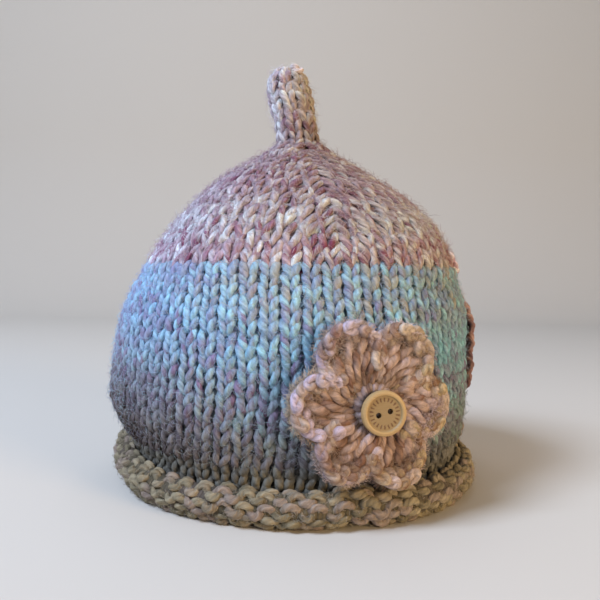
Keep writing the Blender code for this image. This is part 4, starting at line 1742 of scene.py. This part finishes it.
            # (stitches, degrees to either side over which they open, height of their ends in mm)
            for count, opened, low in ((self.posts - 1, 78.0, 0.8), (self.posts, 100.0, 2.0)):
                for k in range(count):
                    spread = (k / (count - 1) - 0.5) * 2.0 + 0.10 * (rng.random() - 0.5)
                    tip_turn = theta + spread * math.radians(opened)
                    reach = (self.petal_half - self.fan_tip[0] - self.fan_tip[1] * rng.random()) * size
                    tip = centre + reach * np.array([math.cos(tip_turn), math.sin(tip_turn)])
                    root_turn = theta + spread * math.radians(self.fan_root_open)
                    root_reach = self.fan_root[0] + self.fan_root[1] * rng.random()
                    root = root_reach * np.array([math.cos(root_turn), math.sin(root_turn)])
                    control = 0.5 * (root + tip) + self.fan_bow * centre
                    line = (
                        ((1 - s) ** 2)[:, None] * root
                        + (2 * s * (1 - s))[:, None] * control
                        + (s**2)[:, None] * tip
                    )
                    along = unit(np.gradient(line, axis=0))
                    across = np.stack([-along[:, 1], along[:, 0]], axis=-1)
                    high = low * MM + self.fan_arch * np.sin(np.pi * s**0.9)
                    high = high + self.fan_wave * (wander(rng, s, 0.35) - 0.5)
                    phase = rng.random() * 2.0 * np.pi
                    gauge = self.fan_thin + (1.0 - self.fan_thin) * smooth_step(0.0, 0.6, s)
                    for strand in (0.0, np.pi):
                        winds = self.fan_winds[0] + self.fan_winds[1] * rng.random()
                        wind = 2.0 * np.pi * winds * s + phase + strand
                        off = gauge * self.fan_wide * np.cos(wind)
                        lift = high + gauge * self.fan_high * np.sin(wind)
                        place = line + across * off[:, None]
                        thick = self.fan_gauge * gauge * (1.0 + 0.5 * (wander(rng, s, 0.2) - 0.5))
                        self.lay(piece, rng, place[:, 0], place[:, 1], lift, thick, dye=FAN_DYE)
        return piece.make(self.yarn)

    def edging(self) -> bpy.types.Object:
        """The two rows of chain that edge each petal. A link is a closed drop, wide ahead, narrow behind.

        Returns:
            The piece.
        """
        rng = np.random.default_rng(43)
        piece = Piece("petal_edges")
        turn = np.linspace(0.0, 2.0 * np.pi, 20, endpoint=False)
        ahead = 0.5 - 0.5 * np.cos(turn)
        span = math.radians(self.edging_span)
        # (inset from the petal's edge, height over the back, both in mm, and links)
        for inset, high, links in ((4.3, 3.2, self.links - 2), (2.0, 4.3, self.links)):
            pitch = span / links
            for degrees, size in self.petals:
                theta = math.radians(degrees)
                centre = self.petal_centre * size * np.array([math.cos(theta), math.sin(theta)])
                radius = self.petal_half * size - inset * MM
                for k in range(links):
                    own = rng.random(5) - 0.5
                    long = self.link_long[0] + self.link_long[1] * own[0]
                    at = (k - self.link_back + long * ahead) * pitch - span / 2.0
                    half = self.link_wide * (self.link_narrow + (1.0 - self.link_narrow) * ahead)
                    wide = half * np.sin(turn) * (1.0 + self.link_uneven * own[2])
                    reach = radius + wide + self.link_stray * own[3]
                    angle = theta + at + self.link_shift * own[1]
                    right = centre[0] + reach * np.cos(angle)
                    up = centre[1] + reach * np.sin(angle)
                    # The link's front end rises over the next one's narrow end, which dips under it
                    out = high * MM - self.link_dip * np.cos(turn) + self.link_stray * own[4]
                    out = out + 0.5 * MM * (wander(rng, turn, 1.2, 2.0 * np.pi) - 0.5)
                    thick = self.edging_gauge * (1.0 + 0.5 * (wander(rng, turn, 1.2, 2.0 * np.pi) - 0.5))
                    self.lay(piece, rng, right, up, out, thick, True)
        return piece.make(self.yarn)

    def heart(self) -> bpy.types.Object:
        """The ring of chain at the flower's middle, which shows round the button, and the clefts' ties.

        Returns:
            The piece.
        """
        rng = np.random.default_rng(47)
        piece = Piece("flower_heart")
        turn = np.linspace(0.0, 2.0 * np.pi, 90, endpoint=False)
        for strand in (0.0, np.pi):
            wind = self.heart_links * turn + strand
            reach = self.heart_reach[0] + self.heart_reach[1] * np.cos(wind)
            out = self.heart_height[0] + self.heart_height[1] * np.sin(wind)
            self.lay(piece, rng, reach * np.cos(turn), reach * np.sin(turn), out, self.heart_gauge, True)
        s = np.linspace(0.0, 1.0, 20)
        angles = [p[0] for p in self.petals]
        for a, b in zip(angles, angles[1:] + [angles[0] + 360.0]):
            middle = math.radians((a + b) / 2.0)
            for side in (-1.0, 1.0):
                # A slip stitch runs up each side of the cleft between two petals
                reach = self.tie_reach[0] + (self.tie_reach[1] - self.tie_reach[0]) * s
                aside = side * (self.tie_aside[0] + self.tie_aside[1] * np.sin(np.pi * s))
                right = reach * math.cos(middle) - aside * math.sin(middle)
                up = reach * math.sin(middle) + aside * math.cos(middle)
                out = self.tie_height[0] + (self.tie_height[1] - self.tie_height[0]) * s
                out = out + self.tie_arch * np.sin(np.pi * s)
                self.lay(piece, rng, right, up, out, self.tie_gauge * (1.0 - 0.3 * s))
        return piece.make(self.yarn)

    def halo(self) -> bpy.types.Object:
        """Stray fibres over the flower's face and outline.

        Returns:
            The piece.
        """
        rng = np.random.default_rng(59)
        piece = Piece("flower_fuzz")
        _, right, up, out = self.directions()
        # (fibres, least and most of the square of their share of the outline's reach, their length)
        for count, least, most, size in ((8500, 0.03, 0.92**2, 1.9 * MM), (6000, 0.84, 1.0, 2.4 * MM)):
            angle = rng.uniform(0.0, 2.0 * np.pi, count)
            share = np.sqrt(rng.uniform(least, most, count))
            reach = share * (self.petal_reach(angle) - self.fuzz_inset)
            # The face rises towards the petals' rims and falls at the outline
            high = (3.0 + 1.9 * smooth_step(0.5, 0.8, share) - 2.6 * smooth_step(0.9, 1.0, share)) * MM
            base = self.place(reach * np.cos(angle), reach * np.sin(angle), high)
            edge = smooth_step(0.85, 1.0, share)[:, None]
            away = np.cos(angle)[:, None] * right + np.sin(angle)[:, None] * up
            facing = unit((1.0 - edge) * out + edge * (away + 0.3 * out))
            tone = FLOWER_DYE.dye(rng, base[:, 2], angle * 15 * MM)
            # Painted light: the fibres are lighter than their yarn
            tone = tuple(np.minimum(self.fuzz_painted_light * c, 1.0) for c in tone)
            halo = Halo(length=size, radius=self.fuzz_gauge, stand=self.fuzz_stand)
            halo.add(piece, rng, base, facing, tone)
        return piece.make(self.fuzz)

    def build(self) -> dict[str, bpy.types.Object]:
        """Makes the flower's pieces, rides them on the root and says what they stand for.

        Returns:
            The pieces, by the names that the log gives them.
        """
        pieces = {
            "fans": self.fans(),
            "edging": self.edging(),
            "heart": self.heart(),
            "flower fuzz": self.halo(),
        }
        ground = self.ground()
        for made in (ground, *pieces.values()):
            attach(made, "root")
            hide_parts("flower")
        return {"flower_ground": ground, **pieces}


@dataclass
class Button:
    """The wooden button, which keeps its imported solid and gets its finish."""

    flower: Flower
    turn: float = 10.0  # its right edge stands off the flower by this angle

    def build(self) -> bpy.types.Object:
        """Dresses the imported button.

        Returns:
            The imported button.
        """
        low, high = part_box("button")
        centre = tuple((a + b) / 2.0 for a, b in zip(low, high))
        _, right, up, out = self.flower.directions()
        turn = math.radians(self.turn)
        face_right = math.cos(turn) * right + math.sin(turn) * out
        face_out = math.cos(turn) * out - math.sin(turn) * right
        axes = Matrix((face_right, up, face_out)).transposed()
        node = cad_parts["button"]
        wood = BurntBirch(centre=centre, turn=tuple(axes.to_euler())).build()
        node.data.materials.clear()
        node.data.materials.append(wood)
        return node


# Studio


@dataclass
class Studio:
    """A plain pale floor that curves up behind, soft light from the left, and the camera."""

    form: CosyForm
    camera_turn: float = 12.0
    distance: float = 0.292
    eye: float = 0.0875
    focal_pixels: float = 675.0
    pixels: float = 600.0
    axis_pixel: float = 295.0  # column of the cover's axis
    level_pixel: float = 265.0  # row of the horizon
    roll: float = 0.9
    film: float = 36.0
    paper_back: float = 0.75  # metres from the cover to where the paper starts to curve up
    paper_bend: float = 0.35
    paper_reach: float = 3.0
    paper_half: float = 3.5
    aim_height: float = 0.06
    sky: str = "#dfe3ee"
    sky_strength: float = 0.30

    def camera(self) -> None:
        """The camera, at the photograph's place, looking a little down and a little past the cover."""
        turn = math.radians(self.camera_turn)
        data = bpy.data.cameras.new("camera")
        made = bpy.data.objects.new("camera", data)
        bpy.context.scene.collection.objects.link(made)
        data.sensor_width = self.film
        data.lens = self.film * self.focal_pixels / self.pixels
        data.clip_start = 0.01
        data.clip_end = 50.0
        half = self.pixels / 2.0
        down = math.atan((half - self.level_pixel) / self.focal_pixels)
        aside = math.atan((half - self.axis_pixel) / self.focal_pixels)
        made.location = (
            self.form.axis[0] + self.distance * math.sin(turn),
            self.form.axis[1] - self.distance * math.cos(turn),
            self.eye,
        )
        aim = (
            Matrix.Rotation(turn - aside, 3, "Z")
            @ Matrix.Rotation(math.pi / 2.0 - down, 3, "X")
            @ Matrix.Rotation(math.radians(self.roll), 3, "Z")
        )
        made.rotation_euler = aim.to_euler()
        bpy.context.scene.camera = made

    def floor(self) -> None:
        """A sheet of pale paper: flat, then curving up into a wall. Its profile is carried along a line."""
        bend = np.linspace(0.0, np.pi / 2.0, 16)
        radius, back = self.paper_bend, self.paper_back
        profile = np.concatenate(
            [
                [[-self.paper_reach, 0.0]],
                np.stack([back + radius * np.sin(bend), radius - radius * np.cos(bend)], axis=-1),
                [[back + radius, self.paper_reach]],
            ]
        )
        turn = math.radians(self.camera_turn)
        ahead = np.array([-math.sin(turn), math.cos(turn), 0.0])
        side = np.array([math.cos(turn), math.sin(turn), 0.0])
        across = np.array([-self.paper_half, self.paper_half])
        points = (
            profile[:, None, :1] * ahead
            + across[None, :, None] * side
            + profile[:, None, 1:] * np.array([0.0, 0.0, 1.0])
        )
        grey = np.full(points.shape, 0.5)
        piece = Piece("paper_floor")
        piece.add_grid(points[:, ::-1], (grey, grey), False)
        made = piece.make(Matt("pale_cream_paper", "#cfcac0").build())

    def light(
        self, name: str, place: tuple[float, float, float], size: float, watts: float, colour: str
    ) -> None:
        """Adds one soft square light, aimed at the cover's middle.

        Args:
            name: the light's name.
            place: metres to the camera's right, ahead of it past the cover's axis, and up.
            size: its side.
            watts: its power.
            colour: its colour.
        """
        data = bpy.data.lights.new(name, "AREA")
        data.size = size
        data.energy = watts
        data.color = tuple(linear(colour))
        made = bpy.data.objects.new(name, data)
        bpy.context.scene.collection.objects.link(made)
        turn = math.radians(self.camera_turn)
        right = np.array([math.cos(turn), math.sin(turn), 0.0])
        ahead = np.array([-math.sin(turn), math.cos(turn), 0.0])
        spot = place[0] * right + place[1] * ahead + np.array([0.0, 0.0, place[2]])
        made.location = spot
        ray = Vector((0.0, 0.0, self.aim_height)) - Vector(spot)
        made.rotation_euler = ray.to_track_quat("-Z", "Y").to_euler()

    def build(self) -> None:
        """Sets up the studio."""
        self.camera()
        self.floor()
        self.light("window", (-0.80, -0.50, 1.15), 0.5, 25.0, "#d3e3ff")
        self.light("fill", (0.80, -0.70, 0.24), 0.4, 8.5, "#ffd595")
        self.light("top", (-0.1, 0.4, 1.3), 0.8, 2.5, "#f4f4ff")
        # Plain display of the colours, without a film curve
        bpy.context.scene.view_settings.view_transform = "Standard"
        world = bpy.data.worlds.new("studio")
        bpy.context.scene.world = world
        world.use_nodes = True
        sky = {"Color": (*linear(self.sky), 1.0), "Strength": self.sky_strength}
        connect(world.node_tree.nodes["Background"], sky)


def main() -> None:
    """Builds the dressed cosy."""
    logging.basicConfig(level=logging.INFO, format="%(message)s")
    form = CosyForm()
    knit_yarn = PliedYarn("marled_wool_blend_yarn").build()
    crown_yarn = PliedYarn(
        "loosely_plied_wool_blend_yarn", turn=14.0 * MM, ridge=0.38 * MM, groove_painted_shade=0.6, spread=1.0
    ).build()
    flower_yarn = PliedYarn(
        "rose_wool_blend_yarn", fibre=0.9 * MM, clump=1.2 * MM, groove_painted_shade=0.6, spread=0.8
    ).build()
    fuzz = StrayFibre("stray_wool_fibres").build()
    flower = Flower(form, flower_yarn, fuzz)
    for maker in (Knitting(form, knit_yarn, crown_yarn, fuzz), flower):
        for name, made in maker.build().items():
            LOG.info("%s: %s, %d faces", name, made.name, len(made.data.polygons))
    LOG.info("button: %s", Button(flower).build().name)
    Studio(form).build()


if __name__ == "__main__":
    main()
